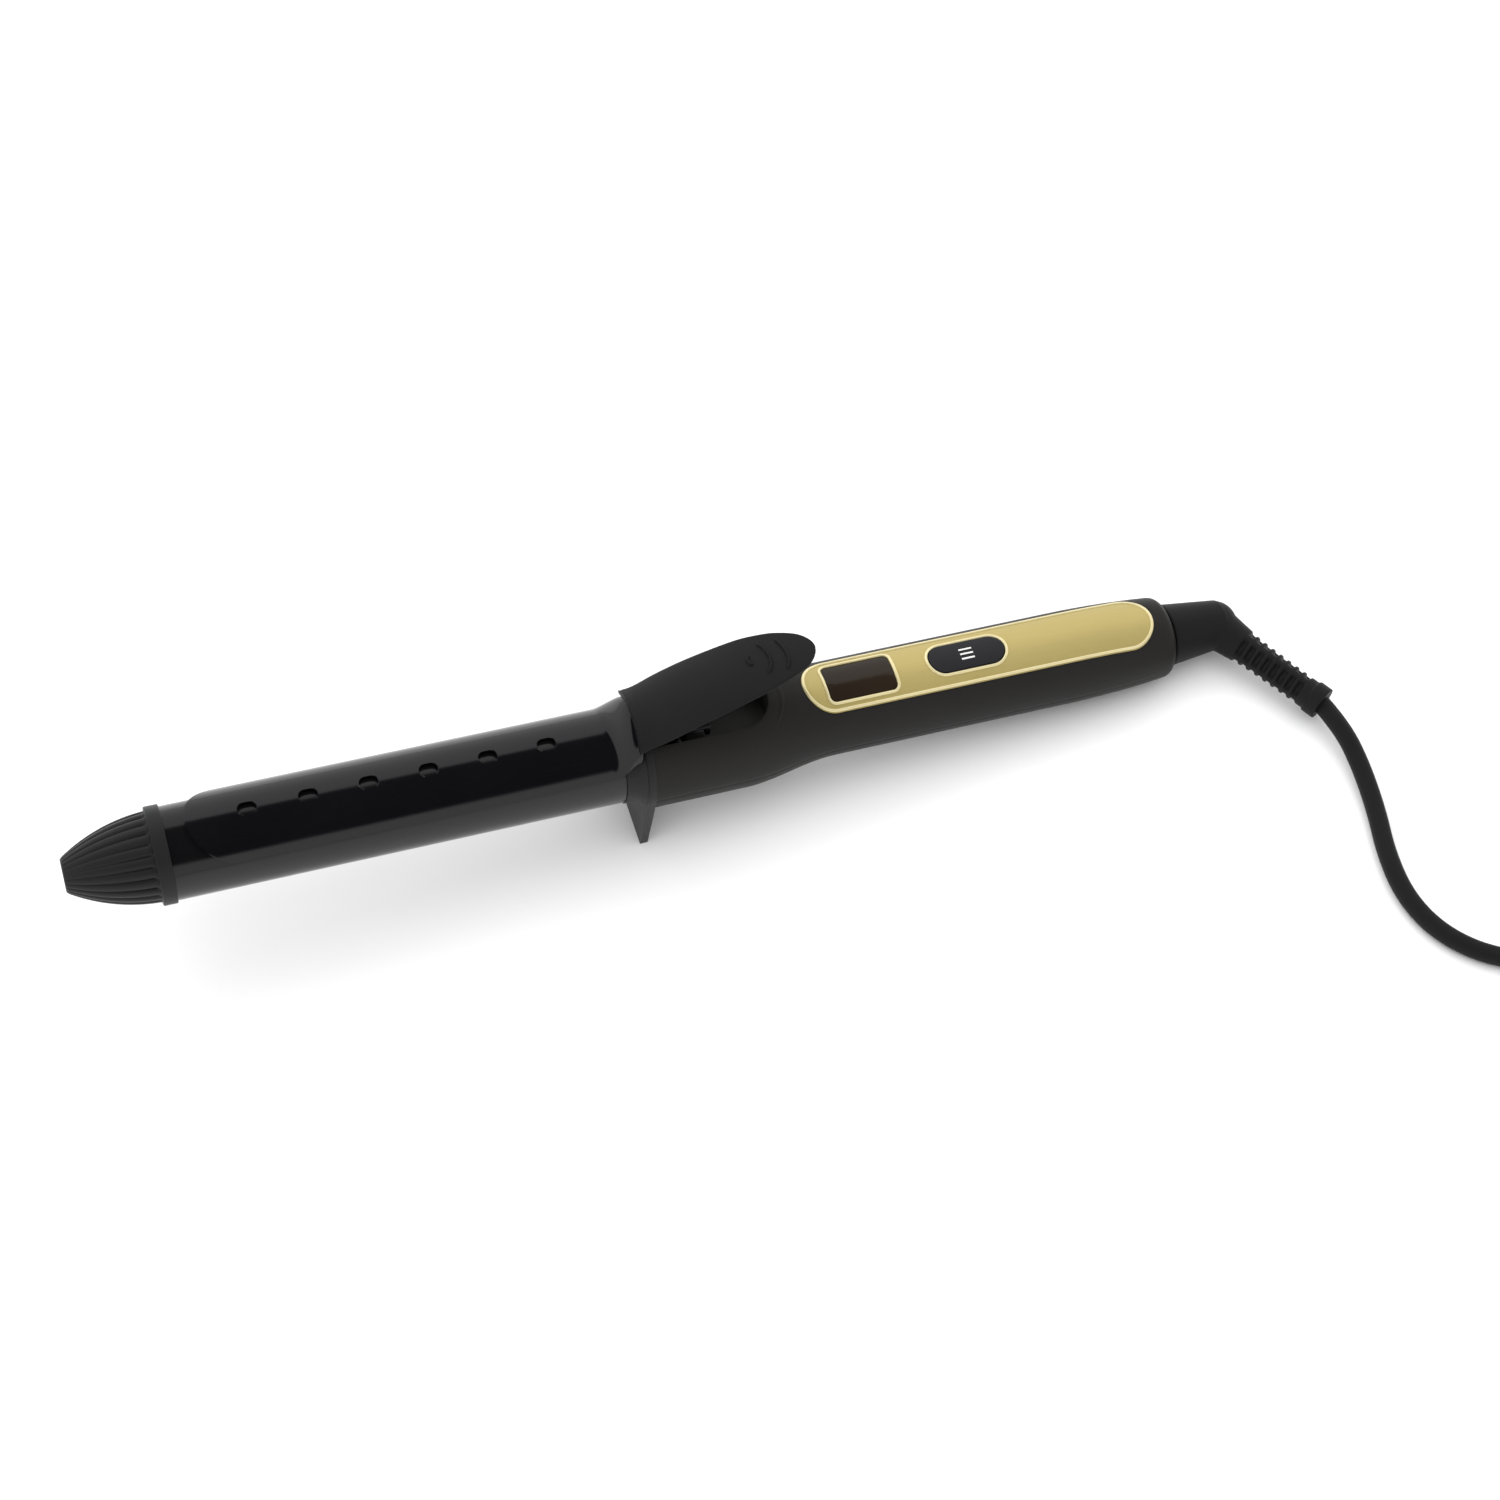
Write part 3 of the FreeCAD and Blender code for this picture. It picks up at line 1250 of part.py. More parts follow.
# checks, then one file per sub-part

doc.removeObject(probe.Name)
doc.recompute()
for item in doc.Objects:
    if "Invalid" in item.State or "Error" in item.State:
        raise ValueError(f"{item.Name} is {item.State}")
os.makedirs("parts", exist_ok=True)
for item in keep:
    if item.Shape.isNull() or not item.Shape.isValid():
        raise ValueError(f"{item.Label} has no valid shape")
    item.Shape.exportStep(f"parts/{item.Label}.step")
print("rest tilt", round(rest_tilt, 3), "shift", round(centre_shift, 3), "height", round(rest_height, 3))
print("exit", exit_point, "coil centre", coil_centre, "plug", plug_start)
print(len(keep), "sub-parts")
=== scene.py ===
import json
import math
import bmesh
import bpy
from mathutils import Matrix, Vector


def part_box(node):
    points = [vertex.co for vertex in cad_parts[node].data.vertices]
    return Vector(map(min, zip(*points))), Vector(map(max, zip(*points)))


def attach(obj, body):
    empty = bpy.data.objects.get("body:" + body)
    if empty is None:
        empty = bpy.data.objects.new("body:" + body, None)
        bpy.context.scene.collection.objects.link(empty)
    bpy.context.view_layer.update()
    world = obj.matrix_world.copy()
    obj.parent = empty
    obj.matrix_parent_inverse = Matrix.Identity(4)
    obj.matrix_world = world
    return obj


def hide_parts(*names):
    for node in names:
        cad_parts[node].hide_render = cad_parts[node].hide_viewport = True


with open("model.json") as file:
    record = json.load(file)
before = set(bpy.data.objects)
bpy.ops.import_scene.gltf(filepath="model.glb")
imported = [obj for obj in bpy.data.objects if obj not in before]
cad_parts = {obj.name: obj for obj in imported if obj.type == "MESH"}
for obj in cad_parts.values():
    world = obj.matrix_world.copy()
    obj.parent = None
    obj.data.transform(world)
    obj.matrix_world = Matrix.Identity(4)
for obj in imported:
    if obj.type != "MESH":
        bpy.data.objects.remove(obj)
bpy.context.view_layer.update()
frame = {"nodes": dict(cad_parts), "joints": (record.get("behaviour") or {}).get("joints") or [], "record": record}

scene = bpy.context.scene
nodes = frame["nodes"]
print("frame loaded:", len(nodes), "nodes")

# The iron is drawn level, in millimetres, about its own axis: x = 0 at the rear of the stand
# plate, z up through the clip. levelToRow lays it down as the frame has it.
jointOf = {joint["name"]: joint for joint in frame["joints"]}
swivelAxis = Vector(jointOf["cord_swivel"]["axis"])
restTilt = math.atan2(-swivelAxis.z, swivelAxis.x)
turnToRest = Matrix.Rotation(restTilt, 4, "Y")
hingeLevel = Vector((8.0, 0.0, 10.0))
restShift = Vector(jointOf["clip_hinge"]["pos_m"]) - turnToRest @ (hingeLevel * 0.001)
levelToRow = Matrix.Translation(restShift) @ turnToRest @ Matrix.Scale(0.001, 4)


def smooth(share):
    share = min(max(share, 0.0), 1.0)
    return share * share * (3 - 2 * share)


# camera

view = {
    "place": (-155.88, -380.36, 635.88),
    "turn": (32.824, -5.599, -17.798),
    "lens": 66.24,
}
cameraData = bpy.data.cameras.new("camera")
cameraData.lens = view["lens"]
cameraData.sensor_width = 36
cameraData.clip_start = 0.01
camera = bpy.data.objects.new("camera", cameraData)
scene.collection.objects.link(camera)
cameraTurn = [Matrix.Rotation(math.radians(angle), 4, axis) for angle, axis in zip(view["turn"], "XYZ")]
camera.matrix_world = (
    Matrix.Translation(levelToRow @ Vector(view["place"]))
    @ turnToRest @ cameraTurn[2] @ cameraTurn[1] @ cameraTurn[0]
)
scene.camera = camera

scene.view_settings.view_transform = "Standard"
scene.view_settings.look = "None"


# shader graphs

class Wire:
    # a socket that takes part in sums
    def __init__(self, graph, socket):
        self.graph = graph
        self.socket = socket

    def sum(self, kind, first, second):
        return self.graph.node("ShaderNodeMath", {"operation": kind}, {0: first, 1: second}).out("Value")

    def __add__(self, other):
        return self.sum("ADD", self, other)

    __radd__ = __add__

    def __sub__(self, other):
        return self.sum("SUBTRACT", self, other)

    def __rsub__(self, other):
        return self.sum("SUBTRACT", other, self)

    def __mul__(self, other):
        return self.sum("MULTIPLY", self, other)

    __rmul__ = __mul__

    def __truediv__(self, other):
        return self.sum("DIVIDE", self, other)

    def __pow__(self, other):
        return self.sum("POWER", self, other)


class Placed:
    # a node that is already in a graph
    def __init__(self, graph, item):
        self.graph = graph
        self.item = item

    def out(self, name):
        return Wire(self.graph, self.item.outputs[name])


class Graph:
    def __init__(self, tree):
        self.tree = tree
        tree.nodes.clear()

    def node(self, kind, settings=None, inputs=None):
        item = self.tree.nodes.new(kind)
        for name, value in (settings or {}).items():
            if name == "stops":
                ramp = item.color_ramp
                while len(ramp.elements) < len(value):
                    ramp.elements.new(0.5)
                for element, (place, tone) in zip(ramp.elements, value):
                    element.position = place
                    element.color = (tone, tone, tone, 1) if isinstance(tone, float) else (*tone, 1)
            else:
                setattr(item, name, value)
        for name, value in (inputs or {}).items():
            if isinstance(value, Wire):
                self.tree.links.new(value.socket, item.inputs[name])
            else:
                item.inputs[name].default_value = value
        return Placed(self, item)


def newFinish(name, base, roughness, constants=None):
    # a Principled material; the graph, its shader and its object coordinates
    material = bpy.data.materials.new(name)
    material.use_nodes = True
    graph = Graph(material.node_tree)
    shader = graph.node("ShaderNodeBsdfPrincipled", None, {
        "Base Color": (*base, 1), "Roughness": roughness, **(constants or {}),
    })
    output = graph.node("ShaderNodeOutputMaterial")
    material.node_tree.links.new(shader.item.outputs[0], output.item.inputs["Surface"])
    place = graph.node("ShaderNodeTexCoord").out("Object")
    return material, graph, shader, place


def feed(shader, name, wire):
    shader.graph.tree.links.new(wire.socket, shader.item.inputs[name])


def noiseOf(graph, place, scale, detail=2.0, stretch=None):
    if stretch:
        place = graph.node("ShaderNodeMapping", None, {
            "Vector": place, "Rotation": (0, restTilt, 0), "Scale": stretch,
        }).out("Vector")
    return graph.node("ShaderNodeTexNoise", None, {
        "Vector": place, "Scale": scale, "Detail": detail,
    }).out("Fac")


def bumpOf(graph, height, strength, distance):
    return graph.node("ShaderNodeBump", None, {
        "Height": height, "Strength": strength, "Distance": distance,
    }).out("Normal")


def mixColour(graph, share, first, second):
    mix = graph.node("ShaderNodeMix", {"data_type": "RGBA"}, {0: share, 6: (*first, 1), 7: (*second, 1)})
    return Wire(graph, mix.item.outputs[2])


def moulded(name, base, shade, rough, grain, grainDepth, specular=0.5):
    # moulded plastic or rubber: fine grain, faint mottling and a varying sheen
    material, graph, shader, place = newFinish(name, base, rough, {"Specular IOR Level": specular})
    mottle = noiseOf(graph, place, 60.0, 3.0)
    fine = noiseOf(graph, place, grain, 2.0)
    feed(shader, "Base Color", mixColour(graph, mottle, base, shade))
    feed(shader, "Roughness", rough - 0.04 + mottle * 0.05 + fine * 0.05)
    feed(shader, "Normal", bumpOf(graph, fine, 0.5, grainDepth))
    return material


def glossy(name, base, shade, rough, ripple, specular=0.42):
    # fired glossy coat with a faint orange peel and hairline wipe marks
    material, graph, shader, place = newFinish(name, base, rough, {"Specular IOR Level": specular})
    peel = noiseOf(graph, place, 420.0, 2.0)
    cloud = noiseOf(graph, place, 45.0, 3.0)
    wipe = noiseOf(graph, place, 900.0, 2.0, (0.06, 1.0, 1.0))
    feed(shader, "Base Color", mixColour(graph, cloud, base, shade))
    feed(shader, "Roughness", rough - 0.02 + cloud * 0.05 + wipe * 0.03)
    feed(shader, "Normal", bumpOf(graph, peel * 0.7 + wipe * 0.3, 0.25, ripple))
    return material


def metal(name, base, shade, rough, stretch, depth, metallic=1.0):
    # satin metal, drawn or brushed along one direction
    material, graph, shader, place = newFinish(name, base, rough, {"Metallic": metallic})
    grain = noiseOf(graph, place, 1400.0, 3.0, stretch)
    cloud = noiseOf(graph, place, 40.0, 2.0)
    feed(shader, "Base Color", mixColour(graph, grain * 0.6 + cloud * 0.4, base, shade))
    feed(shader, "Roughness", rough - 0.06 + grain * 0.12)
    feed(shader, "Normal", bumpOf(graph, grain, 0.3, depth))
    return material


finishes = {
    "tip_plastic": moulded(
        "tip_plastic", (0.010, 0.010, 0.0105), (0.013, 0.013, 0.0135), 0.42, 2600.0, 0.00002, 0.18,
    ),
    "handle_plastic": moulded(
        "handle_plastic", (0.0125, 0.0117, 0.0112), (0.0155, 0.0146, 0.014), 0.48, 3200.0, 0.00003, 0.13,
    ),
    "lever_plastic": moulded(
        "lever_plastic", (0.0095, 0.0095, 0.0095), (0.012, 0.012, 0.012), 0.5, 3200.0, 0.00003, 0.1,
    ),
    "bush_plastic": moulded("bush_plastic", (0.03, 0.03, 0.03), (0.04, 0.04, 0.04), 0.5, 2600.0, 0.00002),
    "button_plastic": moulded(
        "button_plastic", (0.013, 0.013, 0.015), (0.016, 0.016, 0.018), 0.45, 3000.0, 0.00002, 0.15,
    ),
    "swivel_plastic": moulded(
        "swivel_plastic", (0.008, 0.008, 0.008), (0.011, 0.011, 0.011), 0.5, 2800.0, 0.00003, 0.1,
    ),
    "cord_rubber": moulded(
        "cord_rubber", (0.008, 0.008, 0.008), (0.011, 0.011, 0.011), 0.5, 2400.0, 0.00003, 0.1,
    ),
    "plug_rubber": moulded(
        "plug_rubber", (0.010, 0.010, 0.010), (0.013, 0.013, 0.013), 0.5, 2400.0, 0.00003, 0.14,
    ),
    "tie": moulded("tie", (0.02, 0.02, 0.021), (0.03, 0.03, 0.031), 0.75, 1800.0, 0.00008),
    "part_plastic": moulded(
        "part_plastic", (0.03, 0.03, 0.032), (0.04, 0.04, 0.042), 0.45, 2400.0, 0.00002,
    ),
    "capacitor_case": moulded(
        "capacitor_case", (0.55, 0.36, 0.05), (0.6, 0.42, 0.08), 0.4, 2000.0, 0.00002,
    ),
    "wire_red": moulded("wire_red", (0.3, 0.02, 0.015), (0.36, 0.03, 0.02), 0.5, 2000.0, 0.00002),
    "wire_white": moulded("wire_white", (0.6, 0.6, 0.56), (0.7, 0.7, 0.66), 0.5, 2000.0, 0.00002),
    "board": moulded("board", (0.01, 0.09, 0.03), (0.015, 0.12, 0.045), 0.35, 1500.0, 0.00002),
    "heater_ceramic": moulded("heater_ceramic", (0.7, 0.64, 0.52), (0.76, 0.7, 0.6), 0.6, 1800.0, 0.00004),
    "ceramic_coat": glossy(
        "ceramic_coat", (0.0025, 0.0025, 0.003), (0.0045, 0.0045, 0.005), 0.13, 0.00001, 0.38,
    ),
    "clip_coat": glossy("clip_coat", (0.0022, 0.0022, 0.003), (0.004, 0.004, 0.005), 0.1, 0.00001),
    "window_plastic": glossy(
        "window_plastic", (0.014, 0.0095, 0.006), (0.02, 0.014, 0.009), 0.12, 0.000005, 0.25,
    ),
    "steel": metal("steel", (0.5, 0.5, 0.5), (0.62, 0.62, 0.63), 0.32, (0.1, 1.0, 1.0), 0.00001),
    "heater_alloy": metal(
        "heater_alloy", (0.62, 0.63, 0.65), (0.72, 0.73, 0.75), 0.38, (0.1, 1.0, 1.0), 0.00001,
    ),
    "gold_trim": metal(
        "gold_trim", (0.41, 0.33, 0.115), (0.48, 0.39, 0.15), 0.46, (0.05, 1.0, 1.0), 0.000008, 0.45,
    ),
    "copper": metal("copper", (0.72, 0.42, 0.22), (0.8, 0.52, 0.3), 0.3, (0.1, 1.0, 1.0), 0.00001),
    # a lighter, smoother gold than the trim: partly the rims' own polish, partly a painted highlight of the light
    # their bevels catch
    "gold_rim": metal(
        "gold_rim", (0.74, 0.65, 0.36), (0.8, 0.71, 0.43), 0.34, (0.05, 1.0, 1.0), 0.000004, 0.5,
    ),
    # near-black steel: the bracket's finish, and on the spring a painted shade that stands for the dark recess
    # over bright steel
    "dark_steel_and_recess_shade": metal(
        "dark_steel_and_recess_shade", (0.03, 0.03, 0.032), (0.045, 0.045, 0.05), 0.45, (0.1, 1.0, 1.0), 0.00001,
    ),
    "pale_print": moulded("pale_print", (0.62, 0.62, 0.6), (0.68, 0.68, 0.66), 0.55, 3000.0, 0.00001),
    "blade_metal": metal(
        "blade_metal", (0.7, 0.58, 0.33), (0.78, 0.66, 0.42), 0.25, (1.0, 0.1, 1.0), 0.00001,
    ),
}
slotOf = {part["node"]: part["material_slot"] for part in frame["record"]["subparts"]}
bodyOf = {name: body for body, names in frame["record"]["behaviour"]["bodies"].items() for name in names}
for name, item in nodes.items():
    item.data.materials.clear()
    item.data.materials.append(finishes[slotOf[name]])
print("finishes:", len(finishes))


# floor and light

light = {
    "skyStrength": 1.05,
    "darkAxis": (0.0, -0.29, 0.957),
    "darkCosine": 0.682,
    "darkBlur": 0.045,
    "darkLevel": 0.02,
    "overhead": 40.0,
    "overheadSize": 2.4,
    "overheadPlace": (0.05, 0.1, 1.3),
    "overheadAim": (0.02, 0.0, 0.0),
}
world = bpy.data.worlds.new("studio")
scene.world = world
world.use_nodes = True
sky = Graph(world.node_tree)
direction = sky.node("ShaderNodeTexCoord").out("Generated")
towards = sky.node("ShaderNodeVectorMath", {"operation": "DOT_PRODUCT"}, {
    0: direction, 1: light["darkAxis"],
}).out("Value")
lit = sky.node("ShaderNodeMapRange", {"interpolation_type": "SMOOTHSTEP"}, {
    "Value": towards, "From Min": light["darkCosine"] - light["darkBlur"],
    "From Max": light["darkCosine"] + light["darkBlur"],
    "To Min": light["skyStrength"], "To Max": light["darkLevel"],
}).out("Result")
glow = sky.node("ShaderNodeBackground", None, {"Color": (1, 1, 1, 1), "Strength": lit})
skyOut = sky.node("ShaderNodeOutputWorld")
sky.tree.links.new(glow.item.outputs[0], skyOut.item.inputs["Surface"])

lampData = bpy.data.lights.new("overhead", "AREA")
lampData.shape = "SQUARE"
lampData.size = light["overheadSize"]
lampData.energy = light["overhead"]
lamp = bpy.data.objects.new("overhead", lampData)
scene.collection.objects.link(lamp)
lamp.location = light["overheadPlace"]
lampAim = Vector(light["overheadAim"]) - Vector(light["overheadPlace"])
lamp.rotation_euler = lampAim.to_track_quat("-Z", "Y").to_euler()
lamp.visible_glossy = False
lamp.visible_camera = False

floorMesh = bmesh.new()
bmesh.ops.create_grid(floorMesh, x_segments=1, y_segments=1, size=4.0)
bmesh.ops.translate(floorMesh, vec=(0, 0, -0.0001), verts=floorMesh.verts)
floorData = bpy.data.meshes.new("floor")
floorMesh.to_mesh(floorData)
floorMesh.free()
floor = bpy.data.objects.new("floor", floorData)
scene.collection.objects.link(floor)
floorData.materials.append(newFinish("floor", (0.86, 0.86, 0.86), 0.9)[0])
print("floor and light set")


# making pieces

def finishPiece(piece, finish, standsFor, body):
    # gives a new object its finish, slot and body, and hides the nodes it stands for
    scene.collection.objects.link(piece)
    piece.data.materials.append(finishes[finish])
    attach(piece, body or bodyOf[standsFor[0]])
    if standsFor:
        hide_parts(*standsFor)
    return piece


def newPiece(name, shape, finish=None, standsFor=(), body=None, slot=None, sharp=40, place=levelToRow):
    # takes a bmesh in level millimetres and makes the finished, riding piece
    bmesh.ops.remove_doubles(shape, verts=shape.verts, dist=0.0005)
    bmesh.ops.recalc_face_normals(shape, faces=shape.faces)
    bmesh.ops.transform(shape, matrix=place, verts=shape.verts)
    for face in shape.faces:
        face.smooth = True
    data = bpy.data.meshes.new(name)
    shape.to_mesh(data)
    shape.free()
    data.set_sharp_from_angle(angle=math.radians(sharp))
    piece = bpy.data.objects.new(name, data)
    return finishPiece(piece, finish or slot or slotOf[standsFor[0]], standsFor, body)


def worked(shape, *steps):
    # runs a bmesh through modifiers, each a kind and its settings, and returns the result
    data = bpy.data.meshes.new("blank")
    shape.to_mesh(data)
    shape.free()
    blank = bpy.data.objects.new("blank", data)
    scene.collection.objects.link(blank)
    for kind, settings in steps:
        modifier = blank.modifiers.new(kind.lower(), kind)
        for key, value in settings.items():
            setattr(modifier, key, value)
    bpy.context.view_layer.update()
    made = bpy.data.meshes.new_from_object(blank.evaluated_get(bpy.context.evaluated_depsgraph_get()))
    bpy.data.objects.remove(blank)
    bpy.data.meshes.remove(data)
    result = bmesh.new()
    result.from_mesh(made)
    bpy.data.meshes.remove(made)
    return result


def aligned(towards):
    return Vector((1, 0, 0)).rotation_difference(Vector(towards).normalized()).to_matrix().to_4x4()


def lathe(corners, steps, start=(0, 0, 0), towards=(1, 0, 0)):
    # turns (along, radius) corners about an axis
    shape = bmesh.new()
    last = None
    for along, radius in corners:
        point = shape.verts.new((along, 0, radius))
        if last:
            shape.edges.new((last, point))
        last = point
    bmesh.ops.spin(
        shape, geom=shape.verts[:] + shape.edges[:], cent=(0, 0, 0), axis=(1, 0, 0),
        angle=2 * math.pi, steps=steps, use_merge=True,
    )
    bmesh.ops.remove_doubles(shape, verts=shape.verts, dist=0.0005)
    bmesh.ops.transform(shape, matrix=Matrix.Translation(start) @ aligned(towards), verts=shape.verts)
    return shape


def eased(corners, radius, steps=4):
    # an open line with its inner corners rounded off
    points = [Vector(corners[0])]
    for before, corner, after in zip(corners, corners[1:], corners[2:]):
        corner = Vector(corner)
        inward = Vector(before) - corner
        outward = Vector(after) - corner
        reach = min(radius, 0.45 * inward.length, 0.45 * outward.length)
        start = corner + inward.normalized() * reach
        end = corner + outward.normalized() * reach
        for step in range(steps + 1):
            share = step / steps
            points.append(start * (1 - share) ** 2 + corner * 2 * share * (1 - share) + end * share ** 2)
    points.append(Vector(corners[-1]))
    return [tuple(point) for point in points]


def sweep(rings, ends=True):
    # joins equal rings of points into a skin, by extruding the first ring from place to place
    shape = bmesh.new()
    ring = bmesh.ops.create_circle(shape, segments=len(rings[0]), radius=1.0, cap_ends=False)["verts"]
    for vert, point in zip(ring, rings[0]):
        vert.co = point
    first = ring
    edges = shape.edges[:]
    for points in rings[1:]:
        grown = bmesh.ops.extrude_edge_only(shape, edges=edges)["geom"]
        edges = [item for item in grown if isinstance(item, bmesh.types.BMEdge)]
        fresh = {item for item in grown if isinstance(item, bmesh.types.BMVert)}
        order = []
        for vert in ring:
            order += [edge.other_vert(vert) for edge in vert.link_edges if edge.other_vert(vert) in fresh]
        for vert, point in zip(order, points):
            vert.co = point
        ring = order
    if ends:
        shape.faces.new(first)
        shape.faces.new(list(reversed(ring)))
    return shape


def curved(points, steps):
    # a smooth line through points, as a Catmull-Rom curve
    points = [Vector(point) for point in points]
    padded = [2 * points[0] - points[1]] + points + [2 * points[-1] - points[-2]]
    line = []
    for a, b, c, d in zip(padded, padded[1:], padded[2:], padded[3:]):
        for step in range(steps):
            t = step / steps
            line.append(0.5 * (
                2 * b + (c - a) * t + (2 * a - 5 * b + 4 * c - d) * t ** 2 + (3 * b - a - 3 * c + d) * t ** 3
            ))
    line.append(points[-1])
    return line


def ridge(line, upOf, half, height, sides=10, closed=False, taper=0.0):
    # a raised bead that follows a line on a surface; upOf gives the surface's normal at a point
    rings = []
    count = len(line)
    for number, point in enumerate(line):
        before = line[(number - 1) % count] if closed else line[max(number - 1, 0)]
        after = line[(number + 1) % count] if closed else line[min(number + 1, count - 1)]
        up = upOf(point)
        side = up.cross(after - before).normalized()
        ends = min(number, count - 1 - number) / (count - 1)
        size = 1.0 if closed or taper <= 0 else max(math.sqrt(min(ends / taper, 1.0)), 0.05)
        rings.append([
            point + side * half * size * math.cos(turn) + up * height * size * math.sin(turn)
            for turn in (2 * math.pi * index / sides for index in range(sides))
        ])
    if closed:
        rings.append(rings[0])
    return sweep(rings, ends=not closed)


def obround(length, width, low, high, middle, corner=None, segments=48):
    # an upright prism with round corners, along the iron
    corner = corner or width / 2
    shape = bmesh.new()
    ring = bmesh.ops.create_circle(shape, segments=segments, radius=corner, cap_ends=True)["verts"]
    for vert in ring:
        if abs(vert.co.x) > 1e-6:
            vert.co.x += math.copysign(length / 2 - corner, vert.co.x)
        if abs(vert.co.y) > 1e-6:
            vert.co.y += math.copysign(width / 2 - corner, vert.co.y)
    grown = bmesh.ops.extrude_face_region(shape, geom=shape.faces[:])["geom"]
    lifted = [item for item in grown if isinstance(item, bmesh.types.BMVert)]
    bmesh.ops.translate(shape, vec=(0, 0, high - low), verts=lifted)
    bmesh.ops.translate(shape, vec=(middle[0], middle[1], low), verts=shape.verts)
    bmesh.ops.recalc_face_normals(shape, faces=shape.faces)
    return shape


def outline(length, width, corner, middle, perCorner=8, perSide=10):
    # the points of a rounded rectangle, in order
    line = []
    spots = [(1, -1), (1, 1), (-1, 1), (-1, -1)]
    for number, (along, across) in enumerate(spots):
        centre = Vector((middle + along * (length / 2 - corner), across * (width / 2 - corner)))
        start = math.radians(-90 + 90 * number)
        for step in range(perCorner + 1):
            turn = start + math.radians(90) * step / perCorner
            line.append(centre + corner * Vector((math.cos(turn), math.sin(turn))))
        following = spots[(number + 1) % 4]
        after = Vector((middle + following[0] * (length / 2 - corner), following[1] * (width / 2 - corner)))
        turn = math.radians(90 * number)
        after = after + corner * Vector((math.cos(turn), math.sin(turn)))
        last = line[-1]
        if (after - last).length > 1:
            line += [last.lerp(after, step / perSide) for step in range(1, perSide)]
    return line


def softened(name, node, width, steps=2, angle=28, finish=None, merge=0.002):
    # a CAD node's own shape with its sharp edges rounded off
    shape = bmesh.new()
    shape.from_mesh(nodes[node].data)
    bmesh.ops.transform(shape, matrix=levelToRow.inverted(), verts=shape.verts)
    bmesh.ops.remove_doubles(shape, verts=shape.verts, dist=merge)
    bmesh.ops.dissolve_limit(
        shape, angle_limit=math.radians(0.6), use_dissolve_boundaries=False,
        verts=shape.verts, edges=shape.edges,
    )
    corner = math.radians(angle)
    sharp = [edge for edge in shape.edges if len(edge.link_faces) == 2 and edge.calc_face_angle() > corner]
    bmesh.ops.bevel(
        shape, geom=sharp, offset=width, segments=steps, profile=0.5, affect="EDGES",
        clamp_overlap=True, material=-1,
    )
    return newPiece(name, shape, finish, [node])


# the cord: its route, the put-away coil and the tail to the plug, on one spline

cordLook = {
    "diameter": 0.0054,
    "exit": (0.19174, -0.03332, 0.00727),
    "steps": [
        (-0.0005, 0.0009, 0.00727), (0.0024, -0.0084, 0.0065), (0.0033, -0.0200, 0.0042),
        (0.0019, -0.0345, 0.0030), (-0.0011, -0.0480, 0.00275), (-0.0018, -0.0615, 0.00275),
        (0.0017, -0.0735, 0.00275), (0.0094, -0.0834, 0.00275), (0.0206, -0.0903, 0.00275),
        (0.0352, -0.0958, 0.00275), (0.0508, -0.0993, 0.00295), (0.0665, -0.1010, 0.00325),
        (0.0789, -0.1012, 0.00335),
    ],
    "coilCentre": (0.0844, -0.0622),
    "turnPoints": 24,
    "turns": 6.25,
    # (turn at which a change starts, radius and level after it); each change takes a fifth of a turn
    "lanes": [
        (-0.2, 39.0, 3.35), (0.8, 33.4, 3.35), (1.8, 27.8, 3.35), (2.6, 27.8, 8.95),
        (3.4, 33.4, 8.95), (4.4, 39.0, 8.95), (5.2, 39.0, 14.5),
    ],
    "laneChange": 0.2,
    "tail": [
        (0.0390, 0.0, 0.01475), (0.0390, 0.0115, 0.01385), (0.0394, 0.0235, 0.01055),
        (0.0391, 0.0345, 0.0093), (0.0390, 0.0435, 0.0091),
    ],
    "length": 1.53,
}
cordExit = Vector(cordLook["exit"])
coilMiddle = Vector((cordExit.x + cordLook["coilCentre"][0], cordExit.y + cordLook["coilCentre"][1], 0))
cordLine = [Vector((cordExit.x + x, cordExit.y + y, z)) for x, y, z in cordLook["steps"]]


def laneAt(turns):
    # the coil's radius and level, in millimetres
    radius, level = cordLook["lanes"][0][1:]
    for start, newRadius, newLevel in cordLook["lanes"][1:]:
        share = smooth((turns - start) / cordLook["laneChange"])
        radius += (newRadius - radius) * share
        level += (newLevel - level) * share
    return radius, level


for index in range(1, round(cordLook["turns"] * cordLook["turnPoints"])):
    turns = index / cordLook["turnPoints"]
    radius, level = laneAt(turns)
    angle = 2 * math.pi * turns - math.pi / 2
    cordLine.append(coilMiddle + 0.001 * Vector((radius * math.cos(angle), radius * math.sin(angle), level)))
cordLine += [coilMiddle + Vector(point) for point in cordLook["tail"]]
cordCurve = bpy.data.curves.new("mainsCord", "CURVE")
cordCurve.dimensions = "3D"
cordSpline = cordCurve.splines.new("NURBS")
cordSpline.points.add(len(cordLine) - 1)
for control, point in zip(cordSpline.points, cordLine):
    control.co = (*point, 1)
cordSpline.order_u = 3
cordSpline.use_endpoint_u = True
cordCurve.resolution_u = 6
cordCurve.bevel_depth = cordLook["diameter"] / 2
cordCurve.bevel_resolution = 5
cordCurve.use_fill_caps = True
mainsCord = finishPiece(
    bpy.data.objects.new("mainsCord", cordCurve), "cord_rubber",
    ["cord", "cord_coil", "cord_tail"], None,
)
print("cord laid")

# the sizes that the visible pieces share with the frame, in level millimetres

handleSize = {
    "length": 156.5, "neck": 15.9, "width": 26.7, "height": 25.6, "lift": 1.6,
    "stepStart": 27.0, "stepLength": 26.0, "taperStart": 124.0, "taperWidth": 1.9, "taperHeight": 1.4,
}


